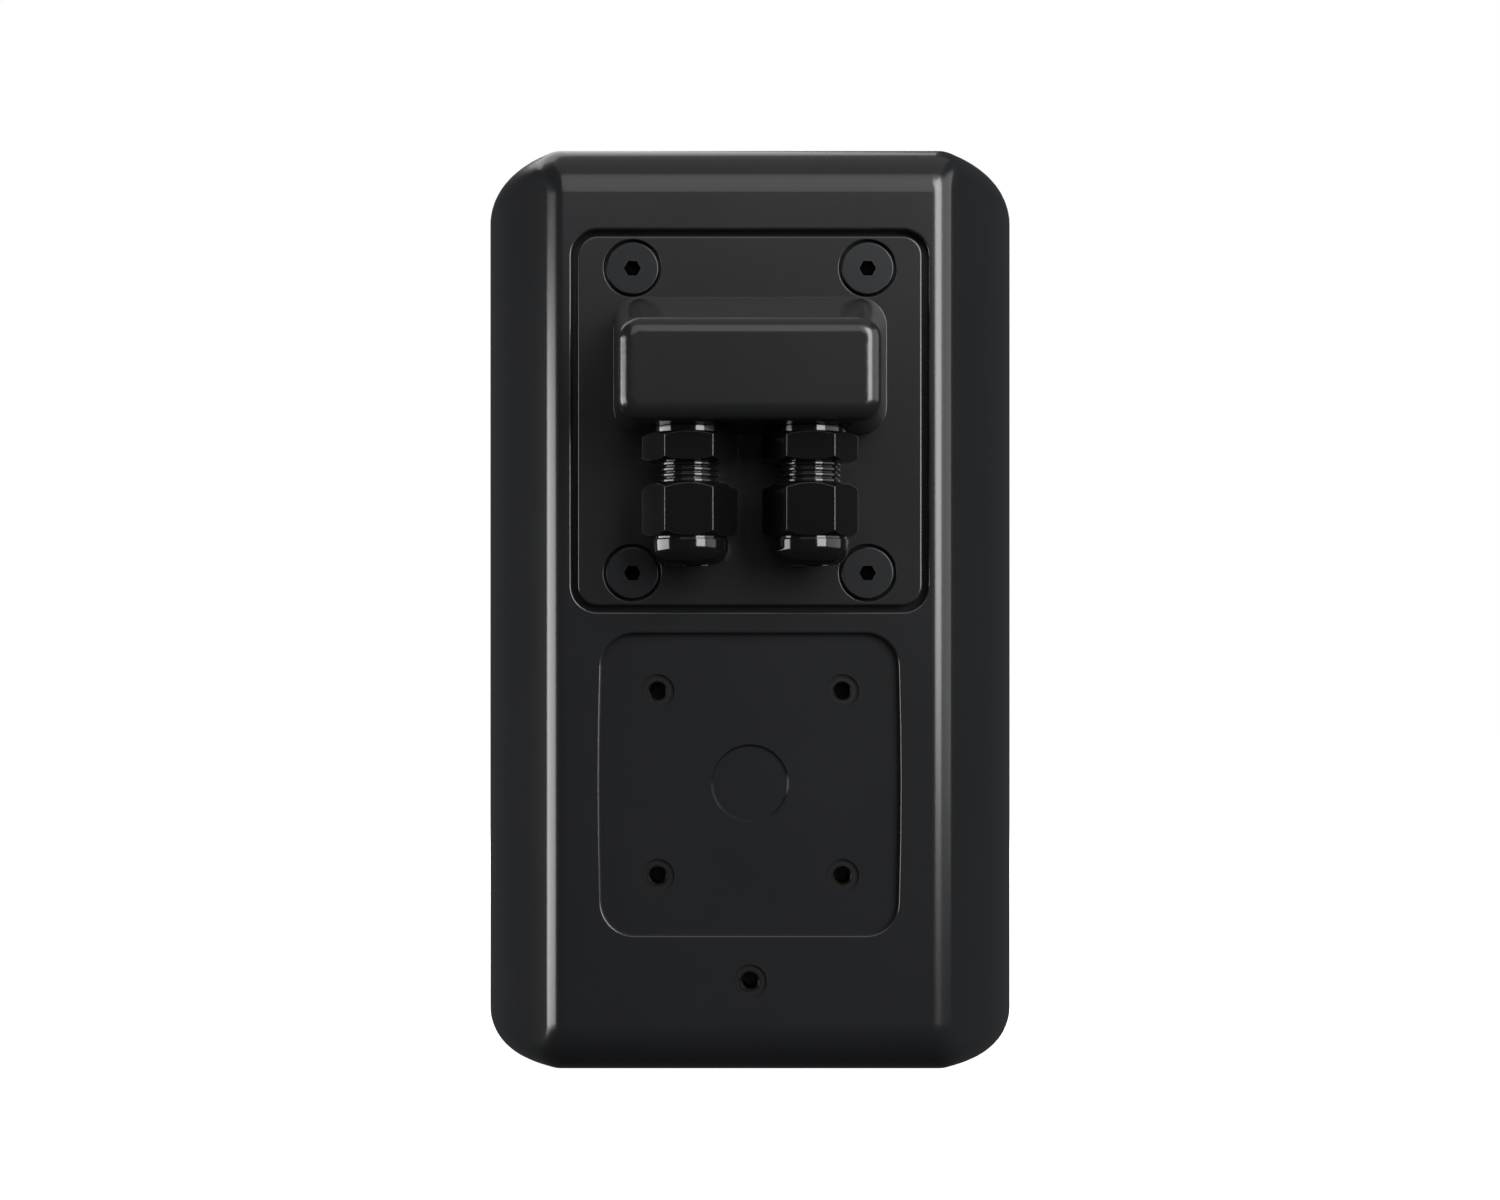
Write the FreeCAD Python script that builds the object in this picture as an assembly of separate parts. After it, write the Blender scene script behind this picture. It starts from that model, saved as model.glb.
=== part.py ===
import FreeCAD, Part
import math
import os

# A compact, weatherproof two-way wall loudspeaker.
# +Z is up and +X is across. The grille faces -Y and the flat back faces +Y.
# The origin lies under the middle of the object, on the surface that it stands on.
# "Depth" is measured forwards from the flat back, and is negative behind it.

os.makedirs("parts", exist_ok=True)

Vector = FreeCAD.Vector
TINY = 1e-4
CUT = 1.0                    # how far a cutting solid runs past what it cuts

# Cabinet shell
HEIGHT = 251.0
WIDTH = 152.0
BACK_WIDTH = 106.2           # width at the back if its upright edges were sharp
SHOULDER_DEPTH = 82.0        # where the curved sides run out straight
SHELL_DEPTH = 112.0
WALL = 3.5
BACK_ROUND = 13.0            # top and bottom edges of the back
UPRIGHT_ROUND = 6.8          # upright edges of the back
EDGE_ROUND_BACK = 7.0        # long edges of the sides, at the back
EDGE_ROUND_FRONT = 12.0      # and where they reach their full width
RIM_ROUND = 0.6              # softened edge of each hollow in the back

# Front
SEAL_THICKNESS = 1.0
BAFFLE_THICKNESS = 8.0
LIP_LENGTH = 6.0
LIP_ROUND = 1.5
FRONT_SEAL_INSET = 0.8       # its outer edge inside the cabinet's
GRILLE_STANDOFF = 9.0        # from the baffle's face to the grille's face
GRILLE_THICKNESS = 1.0
GRILLE_GAP = 0.4
GRILLE_ROUND = 2.5
LIP_WIDTH = 3.4
CLOTH_THICKNESS = 0.6
SEAT_DEPTH = 3.0             # recess that each driver's flange sits in

# Terminal cover on the back
COVER_WIDTH = 93.1
COVER_HEIGHT = 99.9
COVER_CORNER = 5.4
COVER_DROP = 74.8            # from the top of the cabinet to the cover's centre
COVER_THICKNESS = 4.0
COVER_GAP = 1.65             # groove round the cover
COVER_EDGE_ROUND = 0.6
GASKET_THICKNESS = 0.8
GASKET_INSET = 0.7
GASKET_WIDTH = 3.0
BACKING = 4.2                # floor left under the pocket
COVER_SCREW_ACROSS = 63.5
COVER_SCREW_UPRIGHT = 82.3

# Hood over the cable glands
HOOD_OUT = 34.0
HOOD_WIDTH = 73.6
HOOD_HEIGHT = 37.2
HOOD_CORNER = 7.7
HOOD_RISE = 14.6             # its root's centre above the cover's centre
HOOD_FACE_WIDTH = 68.2
HOOD_FACE_HEIGHT = 26.0
HOOD_FACE_CORNER = 5.6
HOOD_FACE_RISE = 10.5
HOOD_FACE_ROUND = 4.4
HOOD_WALL = 2.8
WASHER_SINK = 0.35           # how far each gland's washer stands below the hood's lip

# Cable glands, for a 16 mm thread
GLAND_SPACING = 32.0
GLAND_OUT = 15.0             # axis behind the back
THREAD_RADIUS = 8.0
THREAD_DEPTH = 0.7
THREAD_PITCH = 1.5
THREAD_CLEARANCE = 0.2
RUNNING_GAP = 0.06
HEX_OUT = 3.0                # flats of each hexagon outside the thread
WASHER_OUT = 1.5             # outside the thread
WASHER_THICKNESS = 2.05
GLAND_HEX_LENGTH = 7.4
GLAND_TAIL = 12.4            # threaded tail under the hexagon
GLAND_STEM = 8.5             # threaded stem above the washer's seat, past the hood's floor
LOCK_NUT_THICKNESS = 5.0
EXPOSED_THREAD = 6.1
NUT_HEX_LENGTH = 13.8
NUT_DOME_LENGTH = 7.6
NUT_DOME_OUT = 2.2           # outside the thread
NUT_DOME_ROUND = 4.8
WASHER_ROUND = 0.3
BODY_CHAMFER = 0.45          # share of a hexagon's corners turned away at its ends
LOCK_NUT_CHAMFER = 0.5
NUT_CHAMFER = 0.7
NUT_MOUTH_INSET = 2.0        # inside the thread
BODY_WALL = 0.96             # between the claw and the thread's root
CLAW_WALL = 1.24
CLAW_LENGTH = 17.0
CLAW_FLANGE = 1.5
SEAL_LENGTH = 14.0
SEAL_WALL = 0.6
BODY_BORE_GAP = 0.6          # round a cable, where it passes through the body
CLAW_STOP = 5.0              # how far the claw's bore runs up into the body's hexagon
CLAW_SEAT = 0.4              # its end above the nut's shoulder
CLAW_RIM = 1.2               # its flange stands out this far
CLAW_RING = 5.0              # length left whole under the slots
CLAW_SLOTS = 8
CLAW_SLOT_WIDTH = 0.8
SEAL_INSET = 0.5
NUT_SHOULDER_STEP = 0.4
NUT_SHOULDER_LENGTH = 0.8
PAD_RIM = 0.4                # each gland's pad inside the hood, outside the lock nut's corners
SPOT_RIM = 0.3               # spot face round each washer
SPOT_DEPTH = 6.0

# Bracket recess and threaded inserts
RECESS_WIDTH = 79.7
RECESS_HEIGHT = 81.5
RECESS_BOW = 0.8             # how far each upright side bulges
RECESS_CORNER = 9.0
RECESS_DEPTH = 2.5
RECESS_RISE = 78.0           # from the bottom of the cabinet to the recess's centre
RECESS_BACKING = 4.0
INSERT_PATTERN = 50.0
INSERT_RISE = 78.2           # pattern's centre above the bottom of the cabinet
INSERT_RADIUS = 3.3
INSERT_BORE = 2.1
INSERT_LENGTH = 12.0
INSERT_SINK = 0.8
INSERT_RING_RADIUS = 4.55
LOCATOR_RADIUS = 10.6
LOCATOR_DEPTH = 0.9
LOCATOR_DRAFT = 0.6          # how far its wall leans in
SAFETY_RISE = 24.8
BOSS_WALL = 4.7
BOSS_END = 2.0
INSERT_MOUTH = 0.5           # chamfer at its mouth

# Screws
COVER_HEAD_RADIUS = 7.1
COVER_HEAD_THICKNESS = 2.7
COVER_HEAD_GAP = 0.75
COVER_HEAD_ROUND = 0.4
COVER_SHANK_RADIUS = 3.0
COVER_SCREW_LENGTH = 14.0
COVER_SOCKET_FLATS = 4.0
COVER_SOCKET_DEPTH = 1.9
COVER_INSERT_RADIUS = 4.0
COVER_INSERT_LENGTH = 11.0
COVER_BOSS_WALL = 3.0
COVER_HEAD_SINK = 0.05
BAFFLE_SCREW_RADIUS = 2.0
BAFFLE_HEAD_RADIUS = 3.6
BAFFLE_SCREW_LENGTH = 20.0
BAFFLE_BOSS_RADIUS = 6.5
BAFFLE_BOSS_LENGTH = 26.0
BAFFLE_BOSS_BITE = 0.5       # how far each boss runs into the side wall
BAFFLE_SCREW_END = 12.0      # from the top and bottom to the end screws
BAFFLE_SCREW_ROWS = 4
BAFFLE_SOCKET_FLATS = 2.5
HEAD_THICKNESS = 2.4
DRIVER_SCREW_RADIUS = 1.5
DRIVER_HEAD_RADIUS = 2.9
DRIVER_SCREW_LENGTH = 11.0
DRIVER_POST_RADIUS = 4.5
DRIVER_POST_LENGTH = 8.0
DRIVER_HEAD_THICKNESS = 2.0
DRIVER_SOCKET_FLATS = 2.0
SHANK_GAP = 0.2

# Woofer
WOOFER_RISE = 78.0
WOOFER_FLANGE_THICKNESS = 1.6
BASKET_WALL = 1.5
SHOULDER_RADIUS = 36.0
SPIDER_RADIUS = 34.5
SPIDER_THICKNESS = 0.6
SPIDER_WAVE = 1.4            # depth of each wave
SPIDER_WAVES = 4
WAVE_STEPS = 8
BASKET_FLOOR_RADIUS = 32.0
BASKET_SHOULDER = 25.0       # from the flange's seat back to the shoulder
BASKET_LENGTH = 31.5         # from the flange's seat back to the floor
BASKET_ARMS = 6
BASKET_TAPER = 1.0
WINDOW_WIDTH = 24.0          # openings between the arms
WINDOW_DEPTH = 14.0
WINDOW_BACK = 4.0            # basket left behind and in front of each window
WINDOW_FRONT = 3.0
COIL_GUARD = 1.0
TOP_PLATE_THICKNESS = 4.0
MAGNET_RADIUS = 35.0
MAGNET_HOLE = 16.5
MAGNET_THICKNESS = 15.0
POLE_PLATE_THICKNESS = 4.0
PLATE_ROUND = 1.0
POLE_RADIUS = 12.0
VENT_RADIUS = 3.5
COIL_RADIUS = 12.9
FORMER_WALL = 0.4
FORMER_END = 0.5             # left bare behind the winding
COIL_THICKNESS = 0.6
COIL_LENGTH = 10.0
COIL_GAP = 0.6
CONE_RADIUS = 39.6
CONE_DEPTH = 19.3
CONE_THICKNESS = 0.8
ROLL_RADIUS = 3.5
ROLL_OVERLAP = 0.4           # how far the roll reaches over the basket
SURROUND_THICKNESS = 0.6
SURROUND_EDGE = 2.8          # flat edge glued to the basket, outside the neck
DUST_CAP_RADIUS = 16.0
DUST_CAP_RISE = 5.0
DUST_CAP_THICKNESS = 0.6
DUST_CAP_GLUE = 0.05
WOOFER_FLANGE_WIDTH = 8.0    # outside the surround
WOOFER_SCREW_INSET = 3.8     # from the flange's edge to the screws
WOOFER_GASKET_THICKNESS = 1.6
WOOFER_GASKET_GAP = 0.2
STRIP_WIDTH = 8.0            # terminal strip on the side of the basket
STRIP_HEIGHT = 10.0
STRIP_DEPTH = 12.0
STRIP_OUT = 0.4              # from the middle of the basket's slope to the strip's inner side
TAB_SPACING = 2.5
TAB_THICKNESS = 0.8
TAB_WIDTH = 3.0
TAB_LENGTH = 6.0
FLANGE_GAP = 0.4

# Tweeter
TWEETER_DROP = 67.0          # from the top of the cabinet
TWEETER_RADIUS = 33.0
TWEETER_THROAT = 13.3
TWEETER_MOUTH = 25.0
HORN_WALL = 1.5
HORN_STEPS = 8
TWEETER_HEAD_SINK = 1.2
TWEETER_NECK_RADIUS = 24.0
TWEETER_NECK_LENGTH = 6.0
TWEETER_PLATE_RADIUS = 21.0
TWEETER_PLATE_THICKNESS = 3.0
TWEETER_MAGNET_RADIUS = 23.0
TWEETER_MAGNET_THICKNESS = 13.0
DOME_RADIUS = 12.5
DOME_RISE = 5.0
DOME_THICKNESS = 0.4
DOME_STANDOFF = 1.2          # its edge in front of the magnet's front plate
DOME_COIL_LENGTH = 5.0
DOME_COIL_GAP = 0.7
TWEETER_SCREW_CIRCLE = 29.2

# Reflex ports
PORT_ACROSS = 100.0
PORT_DROP = 51.0             # from the top of the cabinet
PORT_BORE = 10.0
PORT_WALL = 1.5
PORT_FLANGE_RADIUS = 14.5
PORT_LENGTH = 46.0
PORT_FLARE = 3.0

# Electrical parts on the inside of the back
STANDOFF_LENGTH = 18.5
STANDOFF_RADIUS = 4.0
STANDOFF_ACROSS = 84.0
STANDOFF_UPRIGHT = 72.0
BOARD_RISE = 74.0
BOARD_WIDTH = 94.0
BOARD_HEIGHT = 82.0
BOARD_THICKNESS = 1.6
BOARD_CORNER = 2.0
CORE_WIDTH = 48.0
CORE_HEIGHT = 40.0
CORE_STACK = 16.0
CORE_STANDOFF = 10.0
CORE_INSET = 3.0             # from the board's edge
CORE_RISE = 6.0              # above the board's centre
LEG_WIDTH = 16.0
CORE_WINDOW = 8.0
WINDING_GAP = 0.2
WINDING_CORNER = 3.0
INDUCTOR_RADIUS = 17.0
INDUCTOR_BORE = 8.0
INDUCTOR_LENGTH = 17.0
INDUCTOR_INSET = 4.0
INDUCTOR_RISE = 18.0
CAPACITORS = [(7.0, 30.0, 18.0), (5.5, 24.0, 32.0)]      # radius, length, below the board's centre
CAPACITOR_ROUND = 1.0
RESISTOR_SIZE = 9.0
RESISTOR_LENGTH = 40.0
RESISTOR_STANDOFF = 1.0
RESISTOR_SHIFT = 10.0        # towards the middle from the transformer's centre
RESISTOR_DROP = 29.0         # below the board's centre
RESISTOR_ROUND = 1.0
LEAD_RADIUS = 1.1
LEAD_RISE = 8.0              # how far each lead stands off before it bends away

# Terminal cup, terminal block and tap selector under the cover
CUP_WIDTH = 75.2
CUP_HEIGHT = 59.2
CUP_CORNER = 4.6
CUP_DEPTH = 31.0
CUP_WALL = 2.0
CUP_FLANGE_WIDTH = 4.8
CUP_FLANGE_THICKNESS = 1.5
CUP_FLANGE_TRIM = 1.0        # narrower above and below than at the sides
CUP_FLANGE_CORNER = 3.0
CUP_TAB_WIDTH = 40.0
CUP_TAB_LENGTH = 11.0
CUP_SCREW_ACROSS = 28.0
CUP_GAP = 0.3
CUP_SEAL = 0.1
CUP_TAB_SCREW_INSET = 4.0    # from the end of each tab to its screws
CUP_BOSS_WALL = 2.2
SMALL_HEAD_RADIUS = 2.6
SMALL_SHANK_RADIUS = 1.3
SMALL_HEAD_THICKNESS = 1.0
SMALL_SCREW_LENGTH = 7.0
SMALL_SOCKET_FLATS = 1.8
SMALL_SOCKET_DEPTH = 0.7
BLOCK_WAYS = 6
BLOCK_PITCH = 9.0
BLOCK_HEIGHT = 18.0
BLOCK_DEPTH = 15.0
BLOCK_DROP = 17.0            # its centre below the cover's centre
WIRE_ENTRY_RADIUS = 1.7
CLAMP_SCREW_RADIUS = 1.9
BLOCK_END = 1.0              # outside the end ways
BLOCK_CORNER = 1.0
BLOCK_GROOVE_WIDTH = 0.8     # grooves between the ways
BLOCK_GROOVE_DEPTH = 1.2
WIRE_ENTRY_RISE = 5.0        # above the cup's floor
WIRE_ENTRY_END = 2.0         # how far past the block's middle each entry runs
CLAMP_DROP = 3.0             # clamping screws below the block's middle
CLAMP_SINK = 2.0
CLAMP_END = 7.0              # their ends above the cup's floor
CLAMP_SLOT_WIDTH = 0.7
CLAMP_SLOT_DEPTH = 1.0
SWITCH_RISE = 12.0           # its centre above the cover's centre
SWITCH_SIZE = 24.0
SWITCH_DEPTH = 14.0
SWITCH_CORNER = 2.0
KNOB_RADIUS = 10.0
KNOB_GRIP_RADIUS = 7.5
KNOB_SKIRT = 2.4
KNOB_LENGTH = 12.0
KNOB_GAP = 0.4
KNOB_SHAFT_RADIUS = 3.0
KNOB_SHAFT_LENGTH = 9.0
KNOB_ROUND = 0.6
GRIP_ROUND = 0.8
KNOB_FLUTES = 12
FLUTE_RADIUS = 1.0
FLUTE_OUT = 0.4
SHAFT_HOLE_GAP = 1.0
POINTER_WIDTH = 2.2
POINTER_LENGTH = 9.0
POINTER_OUT = 0.8

# Damping wadding under the top
WADDING_THICKNESS = 17.0
WADDING_GAP = 2.5
WADDING_BACK = 22.0
WADDING_FRONT = 8.0
WADDING_SIDE_GAP = 2.4
WADDING_ROUND = 3.0

# Places worked out from the sizes above
BAFFLE_BACK = SHELL_DEPTH + SEAL_THICKNESS
BAFFLE_FACE = BAFFLE_BACK + BAFFLE_THICKNESS
GRILLE_FACE = BAFFLE_FACE + GRILLE_STANDOFF
SEAT = BAFFLE_FACE - SEAT_DEPTH
REAR_Y = (GRILLE_FACE + HOOD_OUT) / 2 - HOOD_OUT
MIDDLE_Z = HEIGHT / 2
TWEETER_Z = HEIGHT - TWEETER_DROP
PORT_Z = HEIGHT - PORT_DROP
COVER_Z = HEIGHT - COVER_DROP
POCKET_DEPTH = COVER_THICKNESS + GASKET_THICKNESS
POCKET_WIDTH = COVER_WIDTH + 2 * COVER_GAP
POCKET_HEIGHT = COVER_HEIGHT + 2 * COVER_GAP
HOOD_Z = COVER_Z + HOOD_RISE
HOOD_FACE_Z = COVER_Z + HOOD_FACE_RISE
HOOD_UNDERSIDE_Z = HOOD_Z - HOOD_HEIGHT / 2
HOOD_LIP_Z = HOOD_FACE_Z - HOOD_FACE_HEIGHT / 2
WASHER_SEAT_Z = max(HOOD_UNDERSIDE_Z, HOOD_LIP_Z) - WASHER_SINK
LOCK_NUT_SEAT_Z = HOOD_LIP_Z + HOOD_WALL
GLAND_Y = REAR_Y + GLAND_OUT
HEX_FLATS = 2 * (THREAD_RADIUS + HEX_OUT)
HEX_CORNER = HEX_FLATS / 2 / math.cos(math.radians(30))
WASHER_RADIUS = THREAD_RADIUS + WASHER_OUT
NUT_DOME_RADIUS = THREAD_RADIUS + NUT_DOME_OUT
NUT_MOUTH_RADIUS = THREAD_RADIUS - NUT_MOUTH_INSET
CLAW_RADIUS = THREAD_RADIUS - THREAD_DEPTH - BODY_WALL
CABLE_RADIUS = CLAW_RADIUS - CLAW_WALL - SEAL_WALL
RIDGE_PROFILE = [(0.1, THREAD_RADIUS - THREAD_DEPTH), (0.28, THREAD_RADIUS),
                 (0.72, THREAD_RADIUS), (0.9, THREAD_RADIUS - THREAD_DEPTH)]
CUP_SEAT = POCKET_DEPTH + CUP_FLANGE_THICKNESS + CUP_SEAL
CUP_FLOOR = CUP_SEAT - CUP_FLANGE_THICKNESS + CUP_DEPTH
BOARD_BACK = WALL + STANDOFF_LENGTH
BOARD_FACE = BOARD_BACK + BOARD_THICKNESS
BASKET_FLOOR = SEAT - BASKET_LENGTH
SHOULDER = SEAT - BASKET_SHOULDER
TOP_PLATE_BACK = BASKET_FLOOR - TOP_PLATE_THICKNESS
MAGNET_BACK = TOP_PLATE_BACK - MAGNET_THICKNESS
POLE_PLATE_BACK = MAGNET_BACK - POLE_PLATE_THICKNESS

TERMINAL_BACK = (SHOULDER + SEAT - STRIP_DEPTH) / 2
FLANGE_FACE = SEAT + WOOFER_FLANGE_THICKNESS
WOOFER_NECK_RADIUS = CONE_RADIUS + 2 * ROLL_RADIUS - ROLL_OVERLAP
TERMINAL_X = (SHOULDER_RADIUS + BASKET_TAPER + WOOFER_NECK_RADIUS) / 2 + STRIP_OUT
SURROUND_RADIUS = WOOFER_NECK_RADIUS + SURROUND_EDGE
WOOFER_FLANGE_RADIUS = SURROUND_RADIUS + WOOFER_FLANGE_WIDTH
WOOFER_SCREW_CIRCLE = WOOFER_FLANGE_RADIUS - WOOFER_SCREW_INSET
TWEETER_NECK_BACK = SEAT - TWEETER_NECK_LENGTH
TWEETER_PLATE_BACK = TWEETER_NECK_BACK - TWEETER_PLATE_THICKNESS
TWEETER_MAGNET_BACK = TWEETER_PLATE_BACK - TWEETER_MAGNET_THICKNESS


# Simple solids

def place(x, depth, z):
    """A point, given by its depth in front of the flat back."""
    return Vector(x, REAR_Y - depth, z)


def slab(x, z, width, height, corner, near, far):
    """A plate square to the depth axis, with rounded corners, between two depths."""
    plate = Part.makeBox(width, far - near, height, place(x - width / 2, far, z - height / 2))
    if corner > 0:
        edges = [edge for edge in plate.Edges if edge.BoundBox.YLength > TINY]
        plate = plate.makeFillet(corner, edges)
    return plate


def rod(x, z, radius, near, far):
    """A round bar along the depth axis, between two depths."""
    return Part.makeCylinder(radius, far - near, place(x, far, z), Vector(0, 1, 0))


def tube(x, z, inner, outer, near, far):
    """A ring along the depth axis, between two depths."""
    return rod(x, z, outer, near, far).cut(rod(x, z, inner, near - CUT, far + CUT))


def turned(x, z, profile):
    """A solid turned about the depth axis from (radius, depth) points."""
    points = [place(x + radius, depth, z) for radius, depth in profile]
    face = Part.Face(Part.makePolygon(points + points[:1]))
    return face.revolve(place(x, 0, z), Vector(0, 1, 0), 360)


def turned_up(x, y, profile):
    """A solid turned about an upright axis from (radius, z) points."""
    points = [Vector(x + radius, y, z) for radius, z in profile]
    face = Part.Face(Part.makePolygon(points + points[:1]))
    return face.revolve(Vector(x, y, 0), Vector(0, 0, 1), 360)


def post(x, y, radius, bottom, top):
    """A round bar along the upright axis."""
    return Part.makeCylinder(radius, top - bottom, Vector(x, y, bottom), Vector(0, 0, 1))


def hexagon_post(x, y, flats, bottom, top):
    """An upright hexagonal bar, with two of its corners to the left and right."""
    corner = flats / 2 / math.cos(math.radians(30))
    angles = [math.radians(60 * turn) for turn in range(7)]
    points = [Vector(x + corner * math.cos(a), y + corner * math.sin(a), bottom) for a in angles]
    return Part.Face(Part.makePolygon(points)).extrude(Vector(0, 0, top - bottom))


def hexagon_rod(x, z, flats, near, far):
    """A hexagonal bar along the depth axis."""
    corner = flats / 2 / math.cos(math.radians(30))
    angles = [math.radians(60 * turn) for turn in range(7)]
    points = [place(x + corner * math.cos(a), far, z + corner * math.sin(a)) for a in angles]
    return Part.Face(Part.makePolygon(points)).extrude(Vector(0, far - near, 0))


def dome(x, z, radius, rise, thickness, base):
    """A spherical cap, hollow at the back, with its edge at the base depth."""
    sphere = (radius ** 2 + rise ** 2) / (2 * rise)
    centre = place(x, base + rise - sphere, z)
    shell = Part.makeSphere(sphere, centre).cut(Part.makeSphere(sphere - thickness, centre))
    return shell.common(rod(x, z, radius + CUT, base, base + rise + CUT))


def rounded_wire(z, width, height, corner, depth):
    """A closed outline with rounded corners, at one depth, centred on the object's middle."""
    half_width = width / 2 - corner
    half_height = height / 2 - corner
    edges = []
    start = None
    for turn in range(4):
        angle = 90 * turn
        middle_x = half_width * (1, -1, -1, 1)[turn]
        middle_z = z + half_height * (1, 1, -1, -1)[turn]
        arc = []
        for step in (0, 45, 90):
            a = math.radians(angle + step)
            arc.append(place(middle_x + corner * math.cos(a), depth, middle_z + corner * math.sin(a)))
        if start is not None:
            edges.append(Part.makeLine(start, arc[0]))
        edges.append(Part.Arc(*arc).toShape())
        start = arc[2]
    edges.append(Part.makeLine(start, edges[0].Vertexes[0].Point))
    return Part.Wire(edges)


def soften(shape, radius, chosen):
    """Round the edges whose bounding box is chosen."""
    return shape.makeFillet(radius, [edge for edge in shape.Edges if chosen(edge.BoundBox)])


def soften_at(shape, radius, depth, half_width, half_height, z):
    """Round the edges that lie at one depth, within a rectangle centred on the middle."""
    def chosen(box):
        flat = box.YLength < TINY and abs(box.YMax - (REAR_Y - depth)) < TINY
        inside = max(-box.XMin, box.XMax) < half_width + TINY
        level = box.ZMin > z - half_height - TINY and box.ZMax < z + half_height + TINY
        return flat and inside and level
    return soften(shape, radius, chosen)


def corners(across, upright, x=0.0, z=0.0):
    """The four corners of a rectangle, as (x, z)."""
    return [(x + across / 2 * side, z + upright / 2 * level) for level in (-1, 1) for side in (-1, 1)]


def round_pattern(count, radius, z, start=0.0):
    """Points spaced evenly on a circle about the depth axis, as (x, z)."""
    angles = [math.radians(start + 360 * step / count) for step in range(count)]
    return [(radius * math.cos(a), z + radius * math.sin(a)) for a in angles]


def screw(x, z, head_radius, head_near, head_far, shank_radius, tip, socket):
    """A screw whose head's face is at head_far when the screw is driven from the front."""
    head = rod(x, z, head_radius, head_near, head_far)
    head = head.makeFillet(min(0.5, (head_far - head_near) / 4), [outer_edge(head, head_far)])
    shank = rod(x, z, shank_radius, tip, head_near)
    hollow = hexagon_rod(x, z, socket, head_far - (head_far - head_near) * 0.6, head_far + CUT)
    return head.fuse(shank).cut(hollow).removeSplitter()


def outer_edge(shape, depth):
    """The widest round edge at one depth."""
    level = [edge for edge in shape.Edges
             if edge.BoundBox.YLength < TINY and abs(edge.BoundBox.YMax - (REAR_Y - depth)) < TINY]
    return max(level, key=lambda edge: edge.BoundBox.XLength)


def export(name, *shapes):
    """Write one node. Several solids in a node stay separate."""
    solids = [solid for shape in shapes for solid in shape.Solids]
    whole = solids[0] if len(solids) == 1 else Part.makeCompound(solids)
    whole.exportStep("parts/" + name + ".step")


# Rear cabinet

def half_width(inset, depth):
    """Half the cabinet's width where its sides curve, drawn in by the inset."""
    step = (WIDTH - BACK_WIDTH) / 2
    arc_radius = (step ** 2 + SHOULDER_DEPTH ** 2) / (2 * step)
    reach = math.sqrt((arc_radius - inset) ** 2 - (SHOULDER_DEPTH - depth) ** 2)
    return WIDTH / 2 - arc_radius + reach


def cabinet_block(inset, front):
    """The cabinet's outer form, drawn in by the inset, from the back to a front depth."""
    half_back = half_width(inset, inset)
    half_front = WIDTH / 2 - inset
    middle_depth = (SHOULDER_DEPTH + inset) / 2
    middle_x = half_width(inset, middle_depth)
    outline = [Part.makeLine(place(-half_back, inset, inset), place(half_back, inset, inset))]
    for side in (1, -1):
        back = place(side * half_back, inset, inset)
        middle = place(side * middle_x, middle_depth, inset)
        shoulder = place(side * half_front, SHOULDER_DEPTH, inset)
        outline.append(Part.Arc(back, middle, shoulder).toShape())
        outline.append(Part.makeLine(shoulder, place(side * half_front, front, inset)))
    outline.append(Part.makeLine(place(-half_front, front, inset), place(half_front, front, inset)))
    wire = Part.Wire(Part.__sortEdges__(outline))
    block = Part.Face(wire).extrude(Vector(0, 0, HEIGHT - 2 * inset))
    return round_block(block, inset)


def round_block(block, inset):
    """Round the cabinet's back edges, and its long edges with a radius that grows forwards."""
    document = FreeCAD.newDocument("rounding")
    base = document.addObject("Part::Feature", "base")
    base.Shape = block
    rounding = document.addObject("Part::Fillet", "rounding")
    rounding.Base = base
    small = EDGE_ROUND_BACK - inset
    large = EDGE_ROUND_FRONT - inset
    choices = []
    for number, edge in enumerate(block.Edges, 1):
        box = edge.BoundBox
        at_back = box.YLength < TINY and abs(box.YMax - (REAR_Y - inset)) < TINY
        if at_back and box.ZLength > TINY:
            choices.append((number, UPRIGHT_ROUND - inset, UPRIGHT_ROUND - inset))
        elif at_back:
            choices.append((number, BACK_ROUND - inset, BACK_ROUND - inset))
        elif box.ZLength < TINY and box.YLength > TINY and box.XLength < TINY:
            choices.append((number, large, large))
        elif box.ZLength < TINY and box.YLength > TINY:
            starts_at_back = edge.Vertexes[0].Point.y > edge.Vertexes[-1].Point.y
            choices.append((number, small, large) if starts_at_back else (number, large, small))
    rounding.Edges = choices
    document.recompute()
    rounded = rounding.Shape.Solids[0]
    FreeCAD.closeDocument("rounding")
    return rounded


def bracket_recess(grow, near, far):
    """The shallow hollow for a wall bracket, with slightly bulging upright sides."""
    half_width = RECESS_WIDTH / 2 + grow
    half_height = RECESS_HEIGHT / 2 + grow
    low = RECESS_RISE - half_height
    high = RECESS_RISE + half_height
    bulge = half_width + RECESS_BOW
    outline = [
        Part.makeLine(place(-half_width, far, high), place(half_width, far, high)),
        Part.Arc(place(half_width, far, high), place(bulge, far, RECESS_RISE),
                 place(half_width, far, low)).toShape(),
        Part.makeLine(place(half_width, far, low), place(-half_width, far, low)),
        Part.Arc(place(-half_width, far, low), place(-bulge, far, RECESS_RISE),
                 place(-half_width, far, high)).toShape(),
    ]
    recess = Part.Face(Part.Wire(outline)).extrude(Vector(0, far - near, 0))
    edges = [edge for edge in recess.Edges
             if edge.BoundBox.YLength > TINY and edge.BoundBox.ZLength < TINY]
    return recess.makeFillet(RECESS_CORNER + grow, edges)


def insert_places():
    """Where the bracket's threaded inserts sit, as (x, z)."""
    return corners(INSERT_PATTERN, INSERT_PATTERN, z=INSERT_RISE)


def cover_screw_places():
    return corners(COVER_SCREW_ACROSS, COVER_SCREW_UPRIGHT, z=COVER_Z)


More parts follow.
